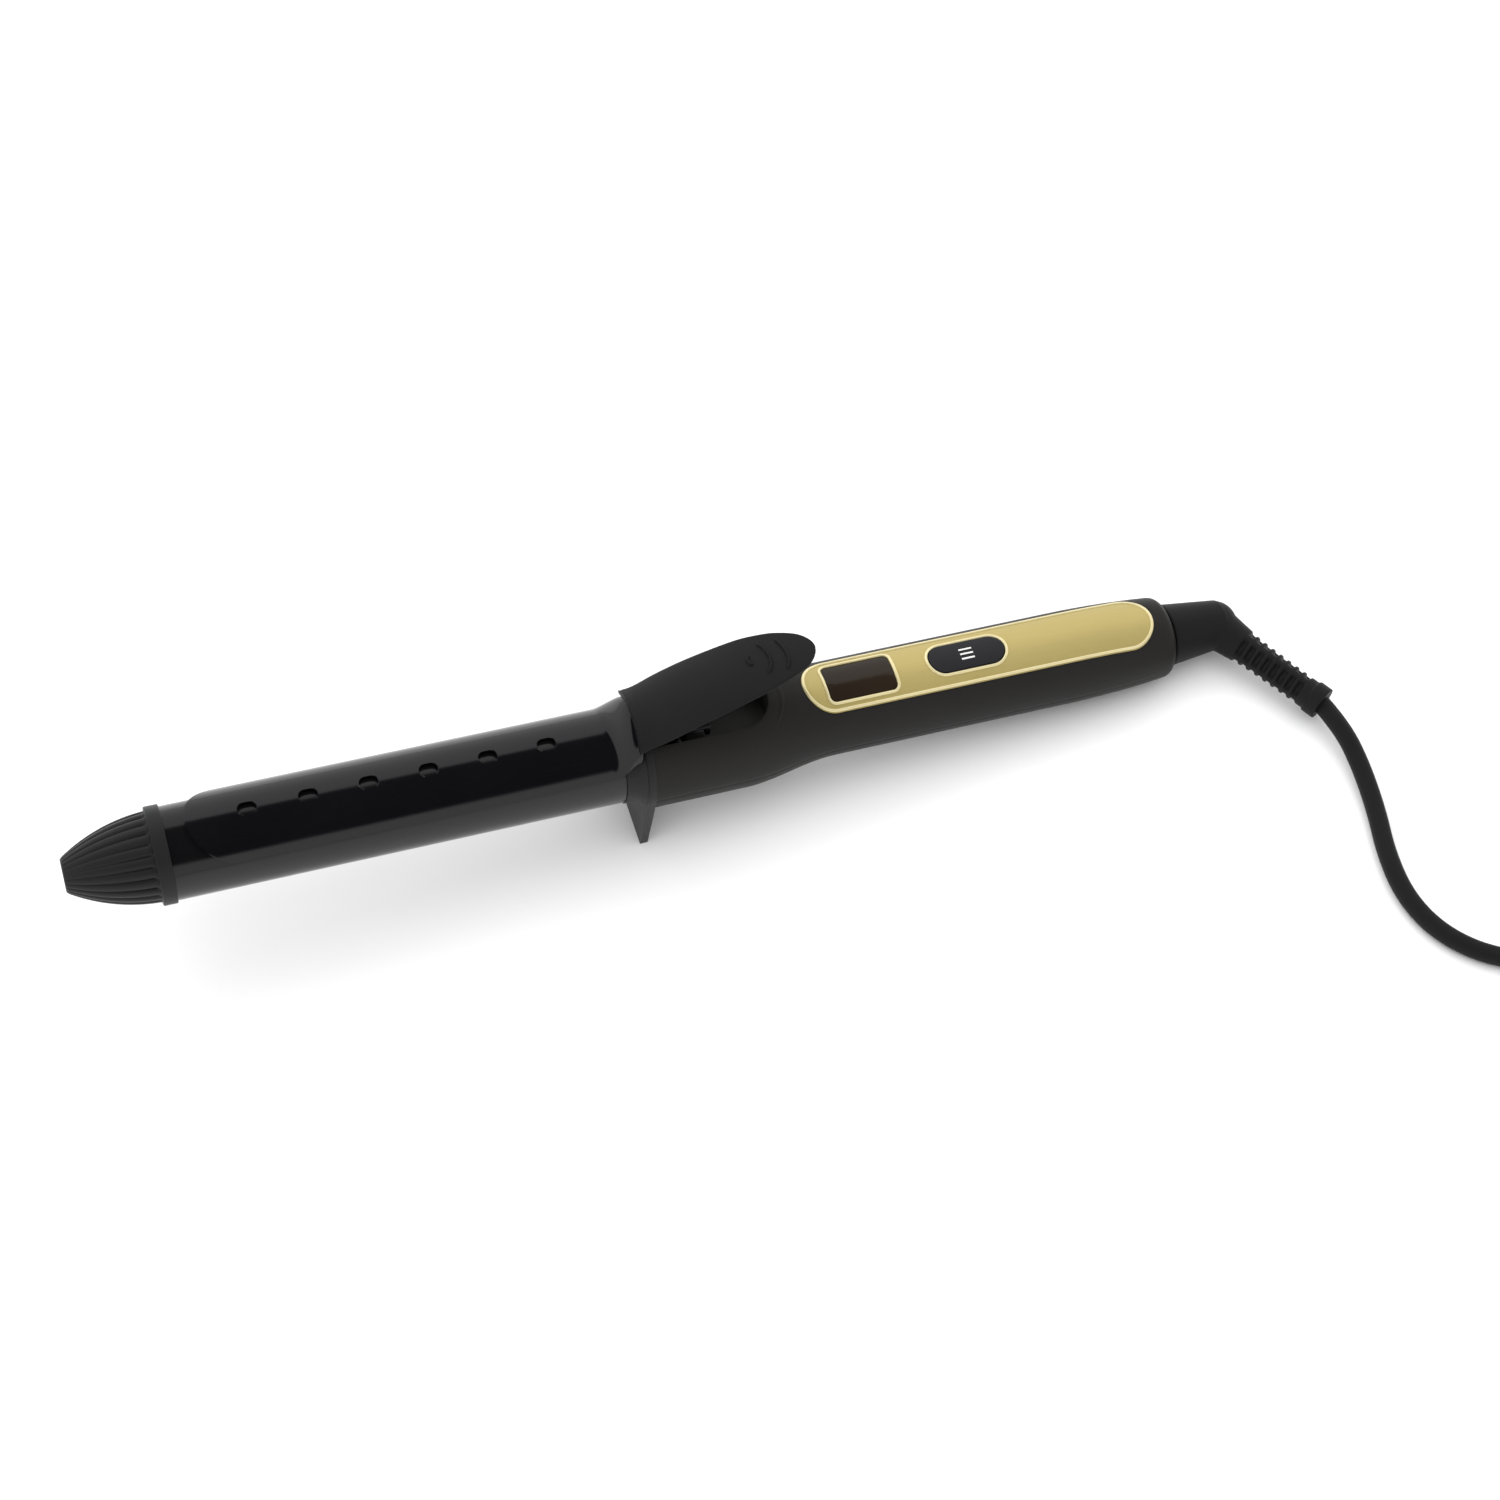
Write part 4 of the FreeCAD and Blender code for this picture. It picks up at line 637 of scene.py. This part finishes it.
def handleSpans(x):
    share = smooth((x - handleSize["stepStart"]) / handleSize["stepLength"])
    neck = handleSize["neck"]
    runOut = max(x - handleSize["taperStart"], 0) / (handleSize["length"] - handleSize["taperStart"])
    width = neck + (handleSize["width"] / 2 - neck) * share - handleSize["taperWidth"] * runOut ** 2
    height = neck + (handleSize["height"] / 2 - neck) * share - handleSize["taperHeight"] * runOut ** 2
    return width, height, handleSize["lift"] * share


def onHandle(x, y, proud=0.0):
    width, height, level = handleSpans(x)
    return Vector((x, y, level + (height + proud) * math.sqrt(1 - (y / (width + proud)) ** 2)))


def handleUp(point):
    width, height, level = handleSpans(point.x)
    return Vector((0, point.y / width ** 2, (point.z - level) / height ** 2)).normalized()


# heated barrel

barrelLook = {"radius": 12.7, "bore": 11.5, "front": -131.7, "rear": -1.0, "edge": 0.3}
barrelEdge = barrelLook["edge"]
newPiece("heatedBarrel", lathe(eased([
    (barrelLook["front"] + 5, barrelLook["bore"]), (barrelLook["front"], barrelLook["bore"]),
    (barrelLook["front"], barrelLook["radius"]), (barrelLook["rear"], barrelLook["radius"]),
    (barrelLook["rear"], barrelLook["bore"]), (barrelLook["front"] + 5, barrelLook["bore"]),
], barrelEdge, 3), 160), standsFor=["barrel_tube"])


# cool tip: a plain collar ring and a fluted nose

tipLook = {
    "front": -157.0, "endRadius": 5.0, "chamfer": 0.6, "root": -133.6, "rootRadius": 12.3, "bow": 45.5,
    "ringRear": -129.7, "ringRadius": 13.35, "ringRound": 0.5,
    "flutes": 24, "rootDepth": 0.75, "endDepth": 0.2, "perFlute": 8, "rows": 40,
}
noseStart = Vector((tipLook["front"] + tipLook["chamfer"], tipLook["endRadius"]))
noseEnd = Vector((tipLook["root"], tipLook["rootRadius"]))
chord = noseEnd - noseStart
bowCentre = (noseStart + noseEnd) / 2 + Vector((chord.y, -chord.x)).normalized() * math.sqrt(
    tipLook["bow"] ** 2 - (chord.length / 2) ** 2)


def noseRadius(x):
    return bowCentre.y + math.sqrt(tipLook["bow"] ** 2 - (x - bowCentre.x) ** 2)


noseLine = [(tipLook["front"] + 0.3, 0), (tipLook["front"] + 0.3, 3.0), (tipLook["front"], 3.4)]
noseLine.append((tipLook["front"], tipLook["endRadius"] - tipLook["chamfer"]))
for row in range(tipLook["rows"] + 1):
    x = noseStart.x + (noseEnd.x - noseStart.x) * row / tipLook["rows"]
    noseLine.append((x, noseRadius(x)))
ringLine = eased([
    (tipLook["root"], tipLook["rootRadius"]), (tipLook["root"], tipLook["ringRadius"]),
    (tipLook["ringRear"], tipLook["ringRadius"]), (tipLook["ringRear"], 12.75), (-131.75, 12.75),
    (-131.75, 11.45), (-126.1, 11.45), (-126.1, 0),
], tipLook["ringRound"])
tipShape = lathe(noseLine + ringLine[1:], tipLook["flutes"] * tipLook["perFlute"])
for vert in tipShape.verts:
    if noseStart.x - 0.2 < vert.co.x < noseEnd.x - 0.01 and math.hypot(vert.co.y, vert.co.z) > 4.5:
        along = (vert.co.x - noseStart.x) / (noseEnd.x - noseStart.x)
        depth = tipLook["endDepth"] + (tipLook["rootDepth"] - tipLook["endDepth"]) * along
        depth *= smooth((noseEnd.x - vert.co.x) / 0.9)
        turn = math.atan2(vert.co.z, vert.co.y) * tipLook["flutes"] / (2 * math.pi)
        away = 2 * abs(turn - math.floor(turn) - 0.5)
        radius = math.hypot(vert.co.y, vert.co.z)
        scale = (radius - depth * away ** 3) / radius
        vert.co.y *= scale
        vert.co.z *= scale
newPiece("coolTip", tipShape, standsFor=["cool_tip"], sharp=50)


# clip: an arched shell with a round front end, six slotted vents and a raised rear end

clipLook = {
    "radius": 14.1, "wall": 1.0, "front": -124.5, "angle": 57.0,
    "humpStart": -11.0, "humpEnd": -3.6, "humpRadius": 11.3, "humpCentre": 8.8, "humpAngle": 73.0,
    "tongueEnd": 2.0, "tongueAngle": 45.0,
    "ventFirst": -108.0, "ventPitch": 16.15, "vents": 6, "ventLength": 5.2, "ventWidth": 3.9,
    "columns": 240, "rows": 48, "edge": 0.26,
}
clipPlan = clipLook["radius"] * math.sin(math.radians(clipLook["angle"]))


def clipPoint(along, across):
    # along runs from 0 at the front to 1 at the tongue's end, across from -1 to 1
    y = clipPlan * math.sin(across * math.pi / 2)
    front = clipLook["front"] + clipPlan - math.sqrt(max(clipPlan ** 2 - y ** 2, 0))
    x = front + (clipLook["tongueEnd"] - front) * along
    share = smooth((x - clipLook["humpStart"]) / (clipLook["humpEnd"] - clipLook["humpStart"]))
    radius = clipLook["radius"] + (clipLook["humpRadius"] - clipLook["radius"]) * share
    reach = clipLook["angle"] + (clipLook["humpAngle"] - clipLook["angle"]) * share
    reach += (clipLook["tongueAngle"] - reach) * smooth((x - clipLook["humpEnd"]) / 1.2)
    angle = math.asin(y / clipLook["radius"]) * reach / clipLook["angle"]
    return Vector((x, radius * math.sin(angle), clipLook["humpCentre"] * share + radius * math.cos(angle)))


clipShape = bmesh.new()
bmesh.ops.create_grid(clipShape, x_segments=clipLook["columns"], y_segments=clipLook["rows"], size=0.5)
for vert in clipShape.verts:
    vert.co = clipPoint(vert.co.x + 0.5, 2 * vert.co.y)
bmesh.ops.recalc_face_normals(clipShape, faces=clipShape.faces)
if sum(face.normal.z for face in clipShape.faces) < 0:
    bmesh.ops.reverse_faces(clipShape, faces=clipShape.faces)
ventShape = bmesh.new()
for index in range(clipLook["vents"]):
    middle = (clipLook["ventFirst"] + index * clipLook["ventPitch"], 0)
    prism = obround(clipLook["ventLength"], clipLook["ventWidth"], 6, 20, middle, segments=40)
    prismData = bpy.data.meshes.new("prism")
    prism.to_mesh(prismData)
    prism.free()
    ventShape.from_mesh(prismData)
ventData = bpy.data.meshes.new("vents")
ventShape.to_mesh(ventData)
ventShape.free()
ventTool = bpy.data.objects.new("vents", ventData)
scene.collection.objects.link(ventTool)
clipShape = worked(
    clipShape,
    ("SOLIDIFY", {"thickness": clipLook["wall"], "offset": -1.0, "use_even_offset": True}),
    ("BOOLEAN", {"operation": "DIFFERENCE", "object": ventTool, "solver": "EXACT"}),
    ("BEVEL", {"width": clipLook["edge"], "segments": 2, "limit_method": "ANGLE",
               "angle_limit": math.radians(35), "use_clamp_overlap": True}),
)
bpy.data.objects.remove(ventTool)
newPiece("clipShell", clipShape, standsFor=["clip_shell"], sharp=45)
print("barrel, tip and clip made")


# thumb lever: a flared front band, a shallow valley behind it and a long thumb leaf

leverLook = {
    # place along the iron, half width, level of the rim, crown above that, thickness
    "stations": [
        (-4.2, 10.5, 15.6, 5.6, 1.2), (-3.0, 10.5, 15.95, 5.35, 1.3), (-1.4, 10.3, 16.6, 4.85, 1.4),
        (1.0, 10.4, 17.6, 4.75, 1.5), (4.5, 10.6, 19.5, 4.6, 1.8), (8.0, 10.6, 21.4, 4.2, 2.2),
        (13.0, 10.5, 23.9, 3.9, 2.4), (18.0, 10.3, 26.1, 3.5, 2.5), (23.0, 10.0, 28.2, 3.0, 2.45),
        (28.0, 9.6, 30.1, 2.4, 2.4), (32.0, 8.95, 31.35, 2.05, 2.3), (36.0, 8.1, 32.4, 1.7, 2.2),
        (39.0, 7.15, 32.95, 1.45, 2.0), (42.0, 5.9, 33.4, 1.2, 1.8), (44.0, 4.6, 33.65, 1.05, 1.6),
        (45.4, 3.1, 33.83, 0.9, 1.35), (46.2, 1.7, 33.95, 0.75, 1.1), (46.5, 0.5, 34.0, 0.7, 0.9),
    ],
    "rim": 0.7,
    "markHalf": 0.525,
    "markHeight": 0.68,
    "marks": [
        [(28.7, 2.5), (28.1, 1.3), (28.2, 0.1), (29.0, -0.8)],
        [(31.6, 5.6), (33.0, 3.4), (33.7, 0.5), (33.4, -2.4), (31.9, -4.7)],
        [(36.5, 5.4), (37.8, 2.6), (38.4, -0.4), (38.2, -3.0), (37.1, -5.2)],
    ],
}
leverAcross = 24


def leverSection(x, half, low, crown, thickness):
    # a closed section across the iron: crowned top, round rims and hollow underside
    rim = leverLook["rim"] / 2
    inner = half - rim
    points = []
    for step in range(leverAcross + 1):
        y = -inner + 2 * inner * step / leverAcross
        points.append((x, y, low + 2 * rim + (crown - 2 * rim) * (1 - (y / half) ** 2)))
    for step in range(1, 5):
        turn = math.radians(90 - 36 * step)
        points.append((x, inner + rim * math.cos(turn), low + rim + rim * math.sin(turn)))
    for step in range(leverAcross + 1):
        y = inner - 2 * inner * step / leverAcross
        points.append((x, y, low + (crown - thickness) * (1 - (y / inner) ** 2)))
    for step in range(1, 5):
        turn = math.radians(-90 - 36 * step)
        points.append((x, -inner + rim * math.cos(turn), low + rim + rim * math.sin(turn)))
    return [Vector(point) for point in points]


leverStations = leverLook["stations"]
leverRings = [leverSection(*station) for station in leverStations]
leverLines = [curved(line, 4) for line in zip(*leverRings)]
leverRings = [list(ring) for ring in zip(*leverLines)]
leverShape = sweep(leverRings)
leverShape.normal_update()
frontEdges = [
    edge for edge in leverShape.edges
    if all(vert.co.x < leverStations[0][0] + 0.01 for vert in edge.verts)
]
bmesh.ops.bevel(
    leverShape, geom=frontEdges, offset=0.3, segments=2, profile=0.5, affect="EDGES",
    clamp_overlap=True, material=-1,
)
for x in (5.0, 13.0):
    bmesh.ops.create_cone(
        leverShape, cap_ends=True, segments=32, radius1=2.2, radius2=2.2, depth=6.0,
        matrix=Matrix.Translation((x, 0, 18.65 + (x - 5) * 0.12)),
    )
newPiece("thumbLever", leverShape, "lever_plastic", ["thumb_lever"], sharp=45)


def leverTop(x, y):
    # the height of the leaf's top
    for before, after in zip(leverStations, leverStations[1:]):
        if before[0] <= x <= after[0]:
            share = (x - before[0]) / (after[0] - before[0])
            half, low, crown = [a + (b - a) * share for a, b in zip(before[1:4], after[1:4])]
            rim = leverLook["rim"]
            return low + rim + (crown - rim) * (1 - (y / half) ** 2)
    return 0.0


def leverUp(point):
    slope = (leverTop(point.x + 0.3, point.y) - leverTop(point.x - 0.3, point.y)) / 0.6
    lean = (leverTop(point.x, point.y + 0.3) - leverTop(point.x, point.y - 0.3)) / 0.6
    return Vector((-slope, -lean, 1)).normalized()


for number, mark in enumerate(leverLook["marks"], 1):
    flat = curved([(x, y, 0) for x, y in mark], 8)
    line = [Vector((point.x, point.y, leverTop(point.x, point.y))) for point in flat]
    bead = ridge(line, leverUp, leverLook["markHalf"], leverLook["markHeight"], taper=0.12)
    newPiece(
        f"gripMark{number}", bead, "lever_plastic",
        body=bodyOf["thumb_lever"], slot=slotOf["thumb_lever"],
    )
print("lever made")


# handle covers, stand plate and what is let into the handle

softened("standPlate", "stand_plate", 0.35, 3)
softened("upperCover", "upper_cover", 0.28)
softened("lowerCover", "lower_cover", 0.28)
softened("trimPanel", "trim_panel", 0.22)
softened("displayWindow", "display_window", 0.3)
softened("menuButton", "menu_button", 0.3, 3)
for name, node in (
    ("coverScrews", "cover_screws"),
    ("leverScrews", "lever_screws"),
    ("clipRivets", "clip_rivets"),
):
    softened(name, node, 0.12)
softened("clipBracket", "clip_bracket", 0.15, finish="dark_steel_and_recess_shade")
print("covers made")

trimLook = {
    "window": (19.6, 11.4, 1.6, 62.0), "button": (22.9, 9.3, 4.65, 93.7), "panel": (104.7, 16.3, 8.15, 97.9),
    "half": 0.42, "height": 0.36,
}
# raised gold beads round the window, the button and the panel; their lighter gold paints part of the rims'
# highlight
for name in ("window", "button", "panel"):
    length, width, corner, middle = trimLook[name]
    corner = min(corner, width / 2 - 0.001)
    grow = 0.5 if name == "window" else 0.35 if name == "button" else -0.35
    flat = outline(length + 2 * grow, width + 2 * grow, corner + grow, middle, 12, 24)
    line = [onHandle(point.x, point.y, 0.16) for point in flat]
    bead = ridge(line, handleUp, trimLook["half"], trimLook["height"], closed=True)
    newPiece(name + "Bezel", bead, "gold_rim", body="handle", slot=slotOf["trim_panel"])

# the button's printed mark: three short lines
markLook = {"proud": 0.33, "half": 0.26, "height": 0.06, "lines": (91.8, 95.6), "pitch": 1.5}
for number, row in enumerate((-1, 0, 1), 1):
    start, end = markLook["lines"]
    flat = [(start + (end - start) * step / 8, row * markLook["pitch"]) for step in range(9)]
    line = [onHandle(x, y, markLook["proud"]) for x, y in flat]
    bead = ridge(line, handleUp, markLook["half"], markLook["height"], sides=8)
    newPiece(
        f"buttonMark{number}", bead, "pale_print",
        body=bodyOf["menu_button"], slot=slotOf["menu_button"],
    )

# the soft lip behind the recess
lipLook = {"centre": 27.0, "radius": 11.7, "reach": 52.0, "half": 0.9, "height": 0.22}
lipLine = []
for step in range(41):
    turn = math.radians(lipLook["reach"]) * (step / 20 - 1)
    lipLine.append(onHandle(
        lipLook["centre"] + lipLook["radius"] * math.cos(turn), lipLook["radius"] * math.sin(turn), -0.05))
newPiece("recessLip", ridge(lipLine, handleUp, lipLook["half"], lipLook["height"], taper=0.45),
         body="handle", slot=slotOf["upper_cover"])


# swivel elbow: a stub with a round end, and the strain relief blended into it

elbowLook = {
    "level": 1.6, "ballX": 172.6, "ball": 7.0, "stubStart": 157.0, "stub": 9.0, "angle": 58.7,
    "reach": 39.0, "root": 6.4, "flare": 14.0, "neck": 4.72, "end": 4.3, "collar": 4.0, "collarRadius": 4.9,
    "slots": 8, "slotFirst": 11.6, "slotPitch": 2.82, "slotWidth": 1.5, "slotDepth": 1.25, "webs": 4,
    "around": 96, "step": 0.3, "voxel": 0.27,
}
elbowTurn = math.radians(elbowLook["angle"])
ball = Vector((elbowLook["ballX"], 0, elbowLook["level"]))
stubEnd = elbowLook["ballX"] - elbowLook["stubStart"]
stubLine = eased([(-stubEnd, 0), (-stubEnd, elbowLook["stub"]), (1.5, elbowLook["ball"])], 0.6)
for step in range(1, 13):
    turn = math.radians(12 + 78 * step / 12)
    stubLine.append((elbowLook["ball"] * math.sin(turn) , elbowLook["ball"] * math.cos(turn)))
elbowShape = lathe(stubLine, 96, ball)


def reliefRadius(along, turn):
    # the relief's outer radius, less its slots
    if along > elbowLook["reach"] - elbowLook["collar"]:
        return elbowLook["collarRadius"]
    share = min(along / elbowLook["flare"], 1)
    base = elbowLook["root"] + (elbowLook["neck"] - elbowLook["root"]) * share
    base += (elbowLook["end"] - elbowLook["neck"]) * max(along - elbowLook["flare"], 0) / (
        elbowLook["reach"] - elbowLook["flare"])
    place = (along - elbowLook["slotFirst"]) / elbowLook["slotPitch"]
    if -0.5 < place < elbowLook["slots"] - 0.5:
        away = abs(place - round(place)) * elbowLook["slotPitch"]
        inSlot = smooth((elbowLook["slotWidth"] / 2 + 0.18 - away) / 0.36)
        sector = (turn / (2 * math.pi) * elbowLook["webs"]) % 1
        inSector = smooth((0.5 + 0.36 - abs(sector - 0.5) - 0.5) / 0.06 + 0.5)
        base -= elbowLook["slotDepth"] * inSlot * inSector
    return base


reliefRings = []
count = round((elbowLook["reach"] + 2) / elbowLook["step"])
around = elbowLook["around"]
for index in range(count + 1):
    along = -2 + (elbowLook["reach"] + 2) * index / count
    reliefRings.append([
        Vector((along, radius * math.cos(turn), radius * math.sin(turn)))
        for turn, radius in (
            (2 * math.pi * step / around, reliefRadius(max(along, 0), 2 * math.pi * step / around))
            for step in range(around)
        )
    ])
reliefShape = sweep(reliefRings)
reliefTurn = Matrix.Translation(ball) @ Matrix.Rotation(-elbowTurn, 4, "Z")
bmesh.ops.transform(reliefShape, matrix=reliefTurn, verts=reliefShape.verts)
reliefData = bpy.data.meshes.new("relief")
reliefShape.to_mesh(reliefData)
reliefShape.free()
elbowShape.from_mesh(reliefData)
bmesh.ops.recalc_face_normals(elbowShape, faces=elbowShape.faces)
elbowShape = worked(
    elbowShape,
    ("REMESH", {"mode": "VOXEL", "voxel_size": elbowLook["voxel"]}),
    ("SMOOTH", {"factor": 0.5, "iterations": 3}),
)
newPiece("swivelElbow", elbowShape, standsFor=["swivel_elbow"], sharp=80)
newPiece("swivelCore", lathe(eased([
    (137.9, 0), (137.9, 4.0), (147.9, 4.0), (147.9, 8.0),
    (150.4, 8.0), (150.4, 6.0), (158.0, 6.0), (158.0, 0),
], 0.3), 64, (0, 0, elbowLook["level"])), body=bodyOf["swivel_elbow"], slot=slotOf["swivel_elbow"])
print("elbow made")


# torsion spring on the hinge pin

springLook = {"axis": (8.0, 10.0), "lane": 2.075, "wire": 0.35, "width": 5.2, "turns": 6.5, "leg": 9.0}
springLine = [Vector((springLook["axis"][0] + springLook["leg"], -springLook["width"] / 2,
                      springLook["axis"][1] - springLook["lane"]))]
springSteps = round(springLook["turns"] * 28)
for index in range(springSteps + 1):
    share = index / springSteps
    turn = -math.pi / 2 - 2 * math.pi * springLook["turns"] * share
    springLine.append(Vector((
        springLook["axis"][0] + springLook["lane"] * math.cos(turn),
        springLook["width"] * (share - 0.5),
        springLook["axis"][1] + springLook["lane"] * math.sin(turn),
    )))
springLine.append(Vector((springLook["axis"][0] + 5.5, springLook["width"] / 2, 12.2)))
hingeMiddle = Vector((springLook["axis"][0], 0, springLook["axis"][1]))


def springUp(point):
    away = point - hingeMiddle
    return Vector((away.x, 0, away.z)).normalized()


# the spring is bright steel; its near-black finish is painted shade for the dark recess it sits in
newPiece("clipSpring", ridge(springLine, springUp, springLook["wire"], springLook["wire"], sides=8),
         "dark_steel_and_recess_shade", ["clip_spring"])


# tie and plug

cordTie = softened("cordTie", "cord_tie", 0.15)
plugLook = {"ribs": 5, "ribWidth": 14.0, "ribPitch": 3.2, "ribHeight": 0.5}
plugBody = softened("plugBody", "plug_body", 1.1, 3, finish="plug_rubber")
plugBlades = softened("plugBlades", "plug_blades", 0.2)
lowPlug, highPlug = (Vector(corner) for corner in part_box("plug_body"))
plugMiddle = (lowPlug + highPlug) / 2
ribShape = bmesh.new()
for index in range(plugLook["ribs"]):
    y = highPlug.y * 1000 - 7 - plugLook["ribPitch"] * index
    bar = bmesh.ops.create_cube(ribShape, size=1.0)["verts"]
    bmesh.ops.scale(ribShape, vec=(plugLook["ribWidth"], 1.1, 2 * plugLook["ribHeight"]), verts=bar)
    bmesh.ops.translate(ribShape, vec=(plugMiddle.x * 1000, y, highPlug.z * 1000 - 0.15), verts=bar)
bmesh.ops.bevel(
    ribShape, geom=ribShape.edges[:], offset=0.3, segments=2, profile=0.5, affect="EDGES",
    clamp_overlap=True, material=-1,
)
newPiece(
    "plugRibs", ribShape, body=bodyOf["plug_body"], slot=slotOf["plug_body"], place=Matrix.Scale(0.001, 4))
print("cord, tie and plug made")
